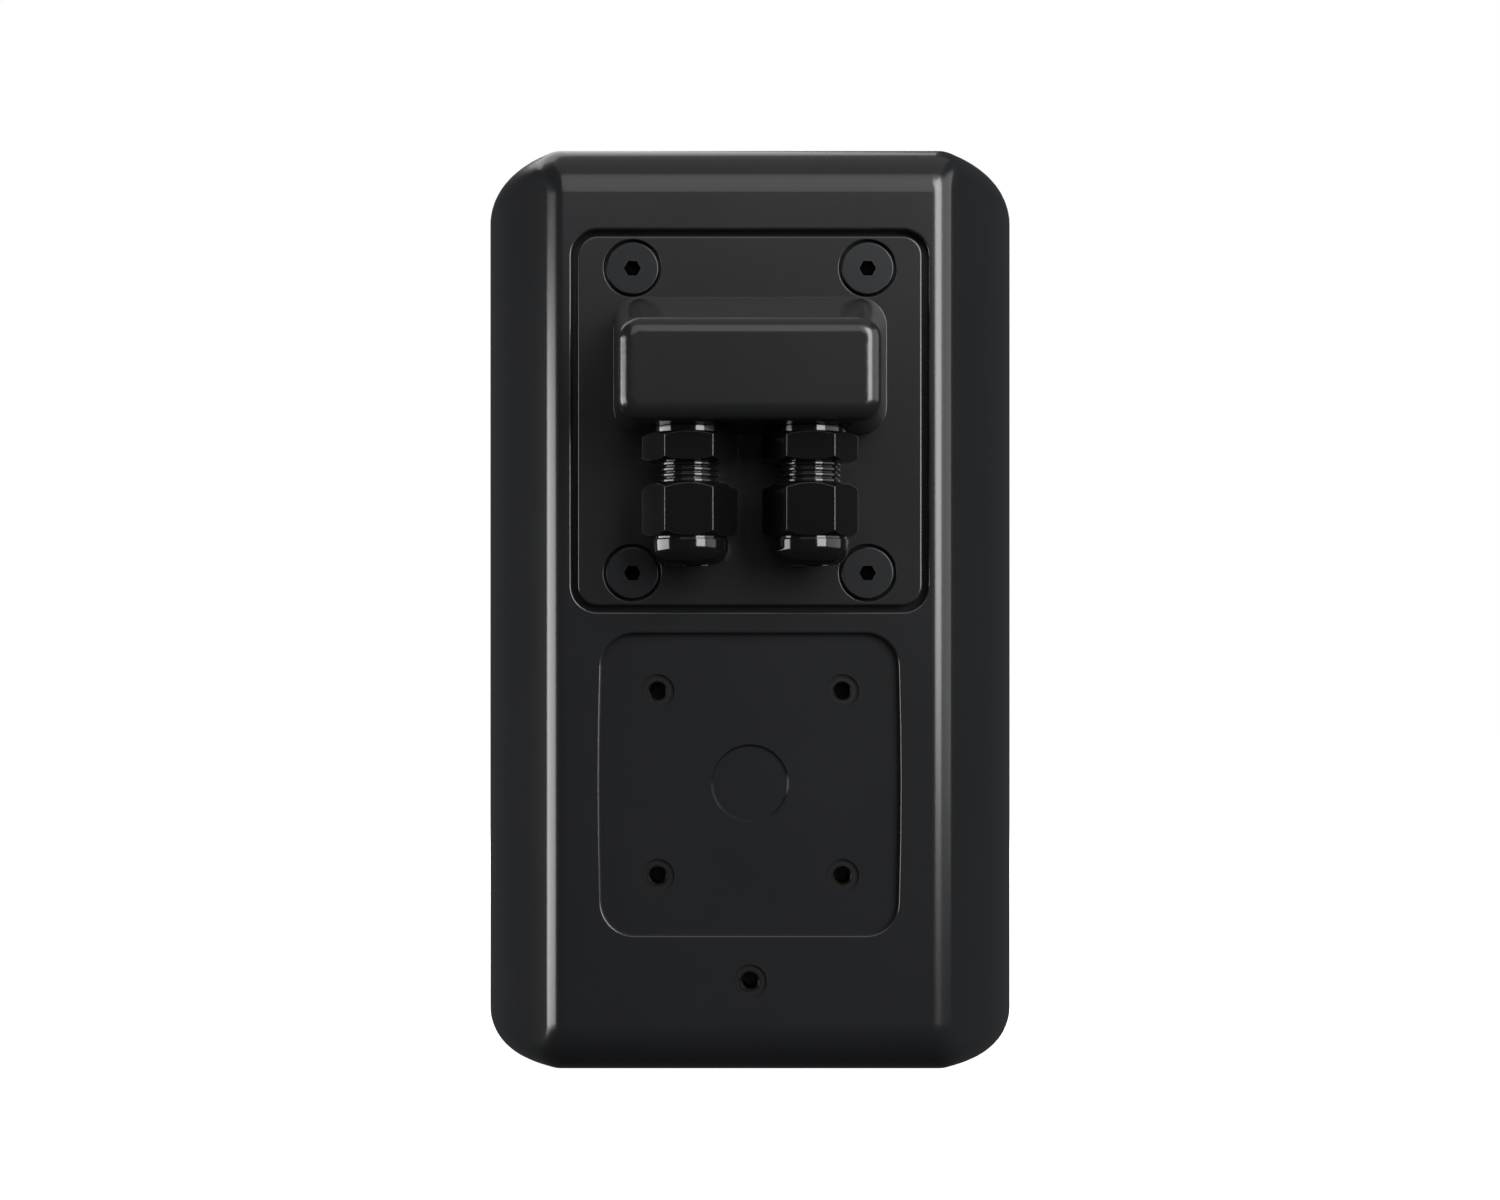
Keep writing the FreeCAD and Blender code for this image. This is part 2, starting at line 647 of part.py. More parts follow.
def cup_screw_places():
    upright = CUP_HEIGHT + 2 * (CUP_TAB_LENGTH - CUP_TAB_SCREW_INSET)
    return corners(CUP_SCREW_ACROSS, upright, z=COVER_Z)


def board_screw_places():
    return corners(STANDOFF_ACROSS, STANDOFF_UPRIGHT, z=BOARD_RISE)


def baffle_screw_places():
    """Screws spaced evenly up each side."""
    across = WIDTH - 2 * (WALL + BAFFLE_BOSS_RADIUS - BAFFLE_BOSS_BITE)
    run = HEIGHT - 2 * BAFFLE_SCREW_END
    levels = [BAFFLE_SCREW_END + run * row / (BAFFLE_SCREW_ROWS - 1) for row in range(BAFFLE_SCREW_ROWS)]
    return [(side * across / 2, level) for level in levels for side in (-1, 1)]


def make_rear_cabinet():
    outside = cabinet_block(0.0, SHELL_DEPTH)
    pocket = slab(0, COVER_Z, POCKET_WIDTH, POCKET_HEIGHT, COVER_CORNER + COVER_GAP,
                  -CUT, POCKET_DEPTH)
    outside = outside.cut(pocket)
    outside = outside.cut(bracket_recess(0.0, -CUT, RECESS_DEPTH))
    outside = soften_at(outside, RIM_ROUND, 0, POCKET_WIDTH / 2, POCKET_HEIGHT / 2, COVER_Z)
    outside = soften_at(outside, RIM_ROUND, 0, RECESS_WIDTH / 2 + RECESS_BOW,
                        RECESS_HEIGHT / 2, RECESS_RISE)
    shell = outside.cut(cabinet_block(WALL, SHELL_DEPTH + CUT))

    floor = WALL - CUT
    inside = cabinet_block(WALL / 2, SHELL_DEPTH)
    backing = slab(0, COVER_Z, POCKET_WIDTH + 2 * WALL, POCKET_HEIGHT + 2 * WALL,
                   COVER_CORNER + COVER_GAP + WALL, floor, POCKET_DEPTH + BACKING).common(inside)
    backing = backing.cut(pocket)
    plinth = bracket_recess(WALL, floor, RECESS_DEPTH + RECESS_BACKING)
    plinth = plinth.cut(bracket_recess(0.0, -CUT, RECESS_DEPTH))
    added = [backing, plinth]
    insert_end = RECESS_DEPTH + INSERT_SINK + INSERT_LENGTH
    for x, z in insert_places():
        added.append(rod(x, z, INSERT_RADIUS + BOSS_WALL, RECESS_DEPTH, insert_end + BOSS_END))
    added.append(rod(0, SAFETY_RISE, INSERT_RADIUS + BOSS_WALL, floor,
                     INSERT_SINK + INSERT_LENGTH + BOSS_END))
    for x, z in cover_screw_places():
        added.append(rod(x, z, COVER_INSERT_RADIUS + COVER_BOSS_WALL, POCKET_DEPTH,
                         POCKET_DEPTH + COVER_SCREW_LENGTH))
    for x, z in cup_screw_places():
        added.append(rod(x, z, SMALL_SHANK_RADIUS + CUP_BOSS_WALL, POCKET_DEPTH,
                         POCKET_DEPTH + SMALL_SCREW_LENGTH + CUT))
    for x, z in board_screw_places():
        added.append(rod(x, z, STANDOFF_RADIUS, floor, BOARD_BACK))
    for x, z in baffle_screw_places():
        added.append(rod(x, z, BAFFLE_BOSS_RADIUS, SHELL_DEPTH - BAFFLE_BOSS_LENGTH, SHELL_DEPTH))
    shell = shell.fuse(added)

    removed = [slab(0, COVER_Z, CUP_WIDTH + 2 * CUP_GAP, CUP_HEIGHT + 2 * CUP_GAP,
                    CUP_CORNER + CUP_GAP, -CUT, POCKET_DEPTH + BACKING + CUT)]
    removed += cup_flange(CUP_GAP, POCKET_DEPTH - CUT, CUP_SEAT)
    dimple_floor = RECESS_DEPTH + LOCATOR_DEPTH
    removed.append(turned(0, INSERT_RISE, [(0, 0), (LOCATOR_RADIUS, 0), (LOCATOR_RADIUS, RECESS_DEPTH),
                                           (LOCATOR_RADIUS - LOCATOR_DRAFT, dimple_floor),
                                           (0, dimple_floor)]))
    for x, z in insert_places():
        removed.append(rod(x, z, INSERT_RING_RADIUS, 0, RECESS_DEPTH + INSERT_SINK))
        removed.append(rod(x, z, INSERT_RADIUS, 0, insert_end))
    removed.append(rod(0, SAFETY_RISE, INSERT_RING_RADIUS, -CUT, INSERT_SINK))
    removed.append(rod(0, SAFETY_RISE, INSERT_RADIUS, -CUT, INSERT_SINK + INSERT_LENGTH))
    for x, z in cover_screw_places():
        removed.append(rod(x, z, COVER_INSERT_RADIUS, 0, POCKET_DEPTH + COVER_INSERT_LENGTH))
    for x, z in cup_screw_places():
        removed.append(rod(x, z, SMALL_SHANK_RADIUS, 0, POCKET_DEPTH + SMALL_SCREW_LENGTH))
    for x, z in board_screw_places():
        removed.append(rod(x, z, DRIVER_SCREW_RADIUS, BOARD_FACE - DRIVER_SCREW_LENGTH,
                           BOARD_BACK + CUT))
    for x, z in baffle_screw_places():
        removed.append(rod(x, z, BAFFLE_SCREW_RADIUS, BAFFLE_FACE - BAFFLE_SCREW_LENGTH,
                           SHELL_DEPTH + CUT))
    export("rear_cabinet", shell.cut(removed).removeSplitter())


def make_inserts():
    def insert(x, z, near):
        far = near + INSERT_LENGTH
        body = tube(x, z, INSERT_BORE, INSERT_RADIUS, near, far)
        mouth = turned(x, z, [(0, near - CUT), (INSERT_BORE + INSERT_MOUTH + CUT, near - CUT),
                              (INSERT_BORE, near + INSERT_MOUTH), (0, near + INSERT_MOUTH)])
        return body.cut(mouth)
    export("bracket_inserts", *[insert(x, z, RECESS_DEPTH + INSERT_SINK)
                                for x, z in insert_places()])
    export("safety_insert", insert(0, SAFETY_RISE, INSERT_SINK))


# Terminal cover with its hood

def hood_form(inset, root, face):
    """The hood's tapering form, drawn in by the inset, between two depths behind the back."""
    wide = rounded_wire(HOOD_Z, HOOD_WIDTH - 2 * inset, HOOD_HEIGHT - 2 * inset,
                        HOOD_CORNER - inset, root)
    narrow = rounded_wire(HOOD_FACE_Z, HOOD_FACE_WIDTH - 2 * inset, HOOD_FACE_HEIGHT - 2 * inset,
                          HOOD_FACE_CORNER - inset, face)
    return Part.makeLoft([wide, narrow], True, True)


def gland_places():
    return [("left", GLAND_SPACING / 2), ("right", -GLAND_SPACING / 2)]


def make_terminal_cover():
    plate = slab(0, COVER_Z, COVER_WIDTH, COVER_HEIGHT, COVER_CORNER, 0, COVER_THICKNESS)
    plate = soften_at(plate, COVER_EDGE_ROUND, 0, COVER_WIDTH / 2, COVER_HEIGHT / 2, COVER_Z)
    hood = hood_form(0.0, 0, -HOOD_OUT)
    hood = soften_at(hood, HOOD_FACE_ROUND, -HOOD_OUT, HOOD_FACE_WIDTH / 2,
                     HOOD_FACE_HEIGHT / 2, HOOD_FACE_Z)
    root = slab(0, HOOD_Z, HOOD_WIDTH - 2 * HOOD_WALL, HOOD_HEIGHT - 2 * HOOD_WALL,
                HOOD_CORNER - HOOD_WALL, 0, COVER_THICKNESS + CUT)
    cover = plate.fuse(hood).cut(hood_form(HOOD_WALL, 0, HOOD_WALL - HOOD_OUT)).cut(root)
    inner = hood_form(HOOD_WALL / 2, 0, HOOD_WALL / 2 - HOOD_OUT)
    for _, x in gland_places():
        pad = post(x, GLAND_Y, HEX_CORNER + PAD_RIM, HOOD_UNDERSIDE_Z, LOCK_NUT_SEAT_Z)
        cover = cover.fuse(pad.common(inner))
    for _, x in gland_places():
        spot = post(x, GLAND_Y, WASHER_RADIUS + SPOT_RIM, WASHER_SEAT_Z - SPOT_DEPTH, WASHER_SEAT_Z)
        hole = post(x, GLAND_Y, THREAD_RADIUS + THREAD_CLEARANCE, WASHER_SEAT_Z - SPOT_DEPTH,
                    LOCK_NUT_SEAT_Z + CUT)
        cover = cover.cut(spot).cut(hole)
    for x, z in cover_screw_places():
        cover = cover.cut(rod(x, z, COVER_HEAD_RADIUS + COVER_HEAD_GAP, -CUT,
                              COVER_HEAD_THICKNESS))
        cover = cover.cut(rod(x, z, COVER_SHANK_RADIUS + SHANK_GAP, 0, COVER_THICKNESS + CUT))
    export("terminal_cover", cover.removeSplitter())

    outer = slab(0, COVER_Z, COVER_WIDTH - 2 * GASKET_INSET, COVER_HEIGHT - 2 * GASKET_INSET,
                 COVER_CORNER - GASKET_INSET, COVER_THICKNESS, POCKET_DEPTH)
    drawn_in = GASKET_INSET + GASKET_WIDTH
    middle = slab(0, COVER_Z, COVER_WIDTH - 2 * drawn_in, COVER_HEIGHT - 2 * drawn_in,
                  COVER_CORNER - drawn_in, COVER_THICKNESS - CUT, POCKET_DEPTH + CUT)
    export("cover_gasket", outer.cut(middle))


def make_cover_screws():
    screws = []
    inserts = []
    for x, z in cover_screw_places():
        head = rod(x, z, COVER_HEAD_RADIUS, COVER_HEAD_SINK, COVER_HEAD_THICKNESS)
        head = head.makeFillet(COVER_HEAD_ROUND, [outer_edge(head, COVER_HEAD_SINK)])
        shank = rod(x, z, COVER_SHANK_RADIUS, COVER_HEAD_THICKNESS, COVER_SCREW_LENGTH)
        socket = hexagon_rod(x, z, COVER_SOCKET_FLATS, -CUT, COVER_SOCKET_DEPTH)
        screws.append(head.fuse(shank).cut(socket).removeSplitter())
        inserts.append(tube(x, z, COVER_SHANK_RADIUS, COVER_INSERT_RADIUS, POCKET_DEPTH,
                            POCKET_DEPTH + COVER_INSERT_LENGTH))
    export("cover_screws", *screws)
    export("cover_inserts", *inserts)


# Cable glands

def ridged_stem(x, y, bottom, top):
    """A threaded bar, its thread shown as rings of one pitch."""
    root = THREAD_RADIUS - THREAD_DEPTH
    profile = [(0, bottom), (root, bottom)]
    ridges = int((top - bottom) / THREAD_PITCH)
    first = top - ridges * THREAD_PITCH
    for ridge in range(ridges):
        for share, radius in RIDGE_PROFILE:
            profile.append((radius, first + (ridge + share) * THREAD_PITCH))
    profile += [(root, top), (0, top)]
    return turned_up(x, y, profile)


def hexagon_nut(x, y, bottom, top, chamfer):
    """A hexagonal body whose corners are turned away at both ends."""
    across = HEX_FLATS / 2
    drop = (HEX_CORNER - across) * chamfer
    profile = [(0, bottom), (across, bottom), (HEX_CORNER, bottom + drop),
               (HEX_CORNER, top - drop), (across, top), (0, top)]
    return hexagon_post(x, y, HEX_FLATS, bottom, top).common(turned_up(x, y, profile))


def make_gland(side, x):
    y = GLAND_Y
    hex_top = WASHER_SEAT_Z - WASHER_THICKNESS
    hex_bottom = hex_top - GLAND_HEX_LENGTH
    tail_end = hex_bottom - GLAND_TAIL
    nut_top = hex_bottom - EXPOSED_THREAD
    nut_shoulder = nut_top - NUT_HEX_LENGTH
    mouth = nut_shoulder - NUT_DOME_LENGTH
    stem_top = LOCK_NUT_SEAT_Z + GLAND_STEM
    bore = CLAW_RADIUS + RUNNING_GAP

    washer = post(x, y, WASHER_RADIUS, hex_top, WASHER_SEAT_Z)
    washer = soften(washer, WASHER_ROUND, lambda box: box.ZLength < TINY)
    export(side + "_gland_washer", washer.cut(post(x, y, THREAD_RADIUS, 0, HEIGHT)))

    body = hexagon_nut(x, y, hex_bottom, hex_top, BODY_CHAMFER)
    body = body.fuse(ridged_stem(x, y, hex_top, stem_top))
    body = body.fuse(ridged_stem(x, y, tail_end, hex_bottom))
    body = body.cut(post(x, y, bore, tail_end - CUT, hex_bottom + CLAW_STOP))
    body = body.cut(post(x, y, CABLE_RADIUS + BODY_BORE_GAP, tail_end, stem_top + CUT))
    export(side + "_gland_body", body.removeSplitter())

    lock_nut = hexagon_nut(x, y, LOCK_NUT_SEAT_Z, LOCK_NUT_SEAT_Z + LOCK_NUT_THICKNESS,
                           LOCK_NUT_CHAMFER)
    export(side + "_gland_lock_nut", lock_nut.cut(post(x, y, THREAD_RADIUS, 0, HEIGHT)))

    claw_end = nut_shoulder + CLAW_SEAT
    claw_top = claw_end + CLAW_LENGTH
    claw = post(x, y, CLAW_RADIUS, claw_end, claw_top)
    claw = claw.fuse(post(x, y, CLAW_RADIUS + CLAW_RIM, claw_end, claw_end + CLAW_FLANGE))
    claw = claw.cut(post(x, y, CLAW_RADIUS - CLAW_WALL, claw_end - CUT, claw_top + CUT))
    for turn in range(CLAW_SLOTS):
        slot = Part.makeBox(CLAW_RADIUS * 2, CLAW_SLOT_WIDTH, CLAW_LENGTH - CLAW_RING,
                            Vector(x, y - CLAW_SLOT_WIDTH / 2, claw_end + CLAW_RING))
        slot.rotate(Vector(x, y, 0), Vector(0, 0, 1), 360 * turn / CLAW_SLOTS)
        claw = claw.cut(slot)
    export(side + "_gland_claw", claw.removeSplitter())

    seal_end = claw_end + SEAL_INSET
    seal = post(x, y, CLAW_RADIUS - CLAW_WALL, seal_end, seal_end + SEAL_LENGTH)
    export(side + "_gland_seal", seal.cut(post(x, y, CABLE_RADIUS, 0, HEIGHT)))

    nut = hexagon_nut(x, y, nut_shoulder, nut_top, NUT_CHAMFER)
    crown_top = nut_shoulder - NUT_SHOULDER_LENGTH
    shoulder = post(x, y, NUT_DOME_RADIUS - NUT_SHOULDER_STEP, crown_top, nut_shoulder + CUT)
    crown = post(x, y, NUT_DOME_RADIUS, mouth, crown_top)
    crown = soften(crown, NUT_DOME_ROUND, lambda box: box.ZMax < mouth + TINY)
    nut = nut.fuse(shoulder).fuse(crown)
    nut = nut.cut(post(x, y, THREAD_RADIUS + RUNNING_GAP, nut_shoulder, nut_top + CUT))
    nut = nut.cut(post(x, y, NUT_MOUTH_RADIUS, mouth - CUT, nut_top + CUT))
    export(side + "_gland_nut", nut.removeSplitter())


# Front baffle, its gasket and screws, the grille and its cloth

def woofer_screw_places():
    return round_pattern(4, WOOFER_SCREW_CIRCLE, WOOFER_RISE, 45)


def tweeter_screw_places():
    return round_pattern(4, TWEETER_SCREW_CIRCLE, TWEETER_Z, 45)


def port_places():
    return [("left", PORT_ACROSS / 2), ("right", -PORT_ACROSS / 2)]


def make_front():
    lip_end = BAFFLE_FACE + LIP_LENGTH
    baffle = slab(0, MIDDLE_Z, WIDTH, HEIGHT, EDGE_ROUND_FRONT, BAFFLE_BACK, lip_end)
    baffle = soften_at(baffle, LIP_ROUND, lip_end, WIDTH / 2, HEIGHT / 2, MIDDLE_Z)
    baffle = baffle.cut(slab(0, MIDDLE_Z, WIDTH - 2 * LIP_WIDTH, HEIGHT - 2 * LIP_WIDTH,
                             EDGE_ROUND_FRONT - LIP_WIDTH, BAFFLE_FACE, lip_end + CUT))
    posts = [rod(x, z, DRIVER_POST_RADIUS, BAFFLE_BACK - DRIVER_POST_LENGTH, BAFFLE_BACK + CUT)
             for x, z in woofer_screw_places() + tweeter_screw_places()]
    baffle = baffle.fuse(posts)
    removed = [
        rod(0, WOOFER_RISE, WOOFER_FLANGE_RADIUS + FLANGE_GAP, SEAT, lip_end),
        rod(0, WOOFER_RISE, WOOFER_NECK_RADIUS + FLANGE_GAP, SHOULDER, lip_end),
        rod(0, TWEETER_Z, TWEETER_RADIUS + FLANGE_GAP, SEAT, lip_end),
        rod(0, TWEETER_Z, TWEETER_NECK_RADIUS + FLANGE_GAP, SHOULDER, lip_end),
    ]
    for _, x in port_places():
        removed.append(rod(x, PORT_Z, PORT_BORE + PORT_WALL, BAFFLE_BACK - CUT, lip_end))
        removed.append(rod(x, PORT_Z, PORT_FLANGE_RADIUS + FLANGE_GAP,
                           BAFFLE_FACE - PORT_WALL, lip_end))
    for x, z in woofer_screw_places():
        removed.append(rod(x, z, DRIVER_SCREW_RADIUS, FLANGE_FACE - DRIVER_SCREW_LENGTH, lip_end))
    for x, z in tweeter_screw_places():
        removed.append(rod(x, z, DRIVER_SCREW_RADIUS, BAFFLE_FACE - DRIVER_SCREW_LENGTH, lip_end))
    for x, z in baffle_screw_places():
        removed.append(rod(x, z, BAFFLE_SCREW_RADIUS + SHANK_GAP, BAFFLE_BACK - CUT, lip_end))
    export("front_baffle", baffle.cut(removed).removeSplitter())

    inset = FRONT_SEAL_INSET
    gasket = slab(0, MIDDLE_Z, WIDTH - 2 * inset, HEIGHT - 2 * inset, EDGE_ROUND_FRONT - inset,
                  SHELL_DEPTH, BAFFLE_BACK)
    gasket = gasket.cut(slab(0, MIDDLE_Z, WIDTH - 2 * WALL, HEIGHT - 2 * WALL,
                             EDGE_ROUND_FRONT - WALL, SHELL_DEPTH - CUT, BAFFLE_BACK + CUT))
    export("baffle_gasket", gasket)
    export("baffle_screws", *[
        screw(x, z, BAFFLE_HEAD_RADIUS, BAFFLE_FACE, BAFFLE_FACE + HEAD_THICKNESS,
              BAFFLE_SCREW_RADIUS, BAFFLE_FACE - BAFFLE_SCREW_LENGTH, BAFFLE_SOCKET_FLATS)
        for x, z in baffle_screw_places()])

    edge = LIP_WIDTH + GRILLE_GAP
    width = WIDTH - 2 * edge
    height = HEIGHT - 2 * edge
    corner = EDGE_ROUND_FRONT - edge
    grille = slab(0, MIDDLE_Z, width, height, corner, BAFFLE_FACE + GRILLE_GAP, GRILLE_FACE)
    grille = soften_at(grille, GRILLE_ROUND, GRILLE_FACE, width / 2, height / 2, MIDDLE_Z)
    hollow = slab(0, MIDDLE_Z, width - 2 * GRILLE_THICKNESS, height - 2 * GRILLE_THICKNESS,
                  corner - GRILLE_THICKNESS, BAFFLE_FACE, GRILLE_FACE - GRILLE_THICKNESS)
    hollow = soften_at(hollow, GRILLE_ROUND - GRILLE_THICKNESS, GRILLE_FACE - GRILLE_THICKNESS,
                       width / 2, height / 2, MIDDLE_Z)
    export("grille", grille.cut(hollow))
    cloth_edge = 2 * (GRILLE_THICKNESS + GRILLE_ROUND)
    export("grille_cloth", slab(0, MIDDLE_Z, width - cloth_edge, height - cloth_edge,
                                corner - GRILLE_THICKNESS,
                                GRILLE_FACE - GRILLE_THICKNESS - CLOTH_THICKNESS,
                                GRILLE_FACE - GRILLE_THICKNESS))


def make_ports():
    for side, x in port_places():
        near = BAFFLE_FACE - PORT_LENGTH
        outer = PORT_BORE + PORT_WALL
        pipe = rod(x, PORT_Z, outer, near, BAFFLE_FACE)
        pipe = pipe.fuse(rod(x, PORT_Z, PORT_FLANGE_RADIUS, BAFFLE_FACE - PORT_WALL,
                             BAFFLE_FACE))
        flare = turned(x, PORT_Z, [(0, BAFFLE_FACE - PORT_FLARE),
                                      (PORT_BORE, BAFFLE_FACE - PORT_FLARE),
                                      (PORT_BORE + PORT_FLARE / 3, BAFFLE_FACE - PORT_FLARE / 3),
                                      (PORT_BORE + PORT_FLARE, BAFFLE_FACE + TINY),
                                      (PORT_BORE + PORT_FLARE, BAFFLE_FACE + CUT),
                                      (0, BAFFLE_FACE + CUT)])
        pipe = pipe.cut(rod(x, PORT_Z, PORT_BORE, near - CUT, BAFFLE_FACE + CUT)).cut(flare)
        export(side + "_port_tube", pipe)


# Woofer

def tab_places():
    """Where the woofer's two solder tabs stand across the strip."""
    return [TERMINAL_X + STRIP_WIDTH / 2 + side * TAB_SPACING / 2 for side in (-1, 1)]


def solder_tabs():
    return [slab(x, WOOFER_RISE, TAB_THICKNESS, TAB_WIDTH, 0, TERMINAL_BACK - TAB_LENGTH,
                 TERMINAL_BACK + CUT) for x in tab_places()]


def make_woofer_frame():
    z = WOOFER_RISE
    throat = COIL_RADIUS + COIL_THICKNESS + COIL_GUARD
    basket = turned(0, z, [
        (throat, BASKET_FLOOR),
        (BASKET_FLOOR_RADIUS, BASKET_FLOOR),
        (BASKET_FLOOR_RADIUS, SHOULDER - BASKET_WALL),
        (SHOULDER_RADIUS + BASKET_TAPER, SHOULDER - BASKET_WALL),
        (WOOFER_NECK_RADIUS, SEAT),
        (WOOFER_FLANGE_RADIUS, SEAT),
        (WOOFER_FLANGE_RADIUS, FLANGE_FACE),
        (WOOFER_NECK_RADIUS - BASKET_WALL / 2, FLANGE_FACE),
        (SHOULDER_RADIUS, SHOULDER),
        (BASKET_FLOOR_RADIUS - BASKET_WALL, SHOULDER),
        (BASKET_FLOOR_RADIUS - BASKET_WALL, BASKET_FLOOR + BASKET_WALL),
        (throat, BASKET_FLOOR + BASKET_WALL)])
    for arm in range(BASKET_ARMS):
        window = Part.makeBox(WINDOW_DEPTH, BASKET_SHOULDER - WINDOW_BACK - WINDOW_FRONT, WINDOW_WIDTH,
                              place(SHOULDER_RADIUS - BASKET_WALL, SEAT - WINDOW_FRONT,
                                    z - WINDOW_WIDTH / 2))
        window.rotate(place(0, 0, z), Vector(0, 1, 0), 360 * (arm + 0.5) / BASKET_ARMS)
        basket = basket.cut(window)
    holes = [rod(x, z_hole, DRIVER_SCREW_RADIUS + SHANK_GAP, SEAT - CUT, FLANGE_FACE + CUT)
             for x, z_hole in woofer_screw_places()]
    export("woofer_basket", basket.cut(holes).removeSplitter())

    strip = slab(TERMINAL_X + STRIP_WIDTH / 2, z, STRIP_WIDTH, STRIP_HEIGHT, 0,
                 TERMINAL_BACK, TERMINAL_BACK + STRIP_DEPTH)
    solid_basket = turned(0, z, [(0, SHOULDER - BASKET_WALL),
                                 (SHOULDER_RADIUS + BASKET_TAPER, SHOULDER - BASKET_WALL),
                                 (WOOFER_NECK_RADIUS, SEAT), (0, SEAT)])
    strip = strip.cut(solid_basket)
    export("woofer_terminals", strip.fuse(solder_tabs()).removeSplitter())

    gasket = tube(0, z, SURROUND_RADIUS + WOOFER_GASKET_GAP, WOOFER_FLANGE_RADIUS, FLANGE_FACE,
                  FLANGE_FACE + WOOFER_GASKET_THICKNESS)
    for x, z_hole in woofer_screw_places():
        gasket = gasket.cut(rod(x, z_hole, DRIVER_HEAD_RADIUS + WOOFER_GASKET_GAP, SEAT,
                                BAFFLE_FACE + CUT))
    export("woofer_gasket", gasket)
    export("woofer_screws", *[
        screw(x, z_hole, DRIVER_HEAD_RADIUS, FLANGE_FACE, FLANGE_FACE + DRIVER_HEAD_THICKNESS,
              DRIVER_SCREW_RADIUS, FLANGE_FACE - DRIVER_SCREW_LENGTH, DRIVER_SOCKET_FLATS)
        for x, z_hole in woofer_screw_places()])


def make_woofer_motor():
    z = WOOFER_RISE
    gap_radius = COIL_RADIUS + COIL_THICKNESS + COIL_GAP
    export("woofer_top_plate", tube(0, z, gap_radius, BASKET_FLOOR_RADIUS, TOP_PLATE_BACK,
                                    BASKET_FLOOR))
    export("woofer_magnet", tube(0, z, MAGNET_HOLE, MAGNET_RADIUS, MAGNET_BACK, TOP_PLATE_BACK))
    pole_plate = rod(0, z, BASKET_FLOOR_RADIUS, POLE_PLATE_BACK, MAGNET_BACK)
    pole_plate = pole_plate.makeFillet(PLATE_ROUND, [outer_edge(pole_plate, POLE_PLATE_BACK)])
    pole_plate = pole_plate.fuse(rod(0, z, POLE_RADIUS, POLE_PLATE_BACK, BASKET_FLOOR))
    vent = rod(0, z, VENT_RADIUS, POLE_PLATE_BACK - CUT, BASKET_FLOOR + CUT)
    export("woofer_pole_plate", pole_plate.cut(vent).removeSplitter())


def make_woofer_moving():
    z = WOOFER_RISE
    rim = FLANGE_FACE
    neck = rim - CONE_DEPTH
    cone = turned(0, z, [(COIL_RADIUS, neck - CONE_THICKNESS), (CONE_RADIUS, rim - CONE_THICKNESS),
                         (CONE_RADIUS, rim), (COIL_RADIUS, neck)])
    export("woofer_cone", cone)
    slope = CONE_DEPTH / (CONE_RADIUS - COIL_RADIUS)
    cap_base = neck + (DUST_CAP_RADIUS - COIL_RADIUS) * slope + DUST_CAP_GLUE
    export("woofer_dust_cap", dome(0, z, DUST_CAP_RADIUS, DUST_CAP_RISE, DUST_CAP_THICKNESS, cap_base))
    coil_middle = BASKET_FLOOR - TOP_PLATE_THICKNESS / 2
    coil_back = coil_middle - COIL_LENGTH / 2
    former = tube(0, z, COIL_RADIUS - FORMER_WALL, COIL_RADIUS, coil_back - FORMER_END, neck)
    winding = tube(0, z, COIL_RADIUS, COIL_RADIUS + COIL_THICKNESS, coil_back,
                   coil_back + COIL_LENGTH)
    export("woofer_voice_coil", former.fuse(winding).removeSplitter())

    middle = CONE_RADIUS + ROLL_RADIUS - SURROUND_THICKNESS / 2
    torus = Part.makeTorus(middle, ROLL_RADIUS, place(0, rim, z), Vector(0, 1, 0))
    hollow = Part.makeTorus(middle, ROLL_RADIUS - SURROUND_THICKNESS, place(0, rim, z),
                            Vector(0, 1, 0))
    roll = torus.cut(hollow).common(rod(0, z, SURROUND_RADIUS, rim, rim + ROLL_RADIUS + CUT))
    edge = tube(0, z, middle + ROLL_RADIUS - SURROUND_THICKNESS, SURROUND_RADIUS, rim,
                rim + SURROUND_THICKNESS)
    export("woofer_surround", roll.fuse(edge).removeSplitter())

    profile = []
    steps = WAVE_STEPS * SPIDER_WAVES
    for side in (0, 1):
        order = range(steps + 1) if side == 0 else range(steps, -1, -1)
        for step in order:
            share = step / steps
            radius = COIL_RADIUS + (SPIDER_RADIUS - COIL_RADIUS) * share
            wave = SPIDER_WAVE / 2 * (1 - math.cos(2 * math.pi * SPIDER_WAVES * share))
            profile.append((radius, SHOULDER + wave + side * SPIDER_THICKNESS))
    export("woofer_spider", turned(0, z, profile))


# Tweeter

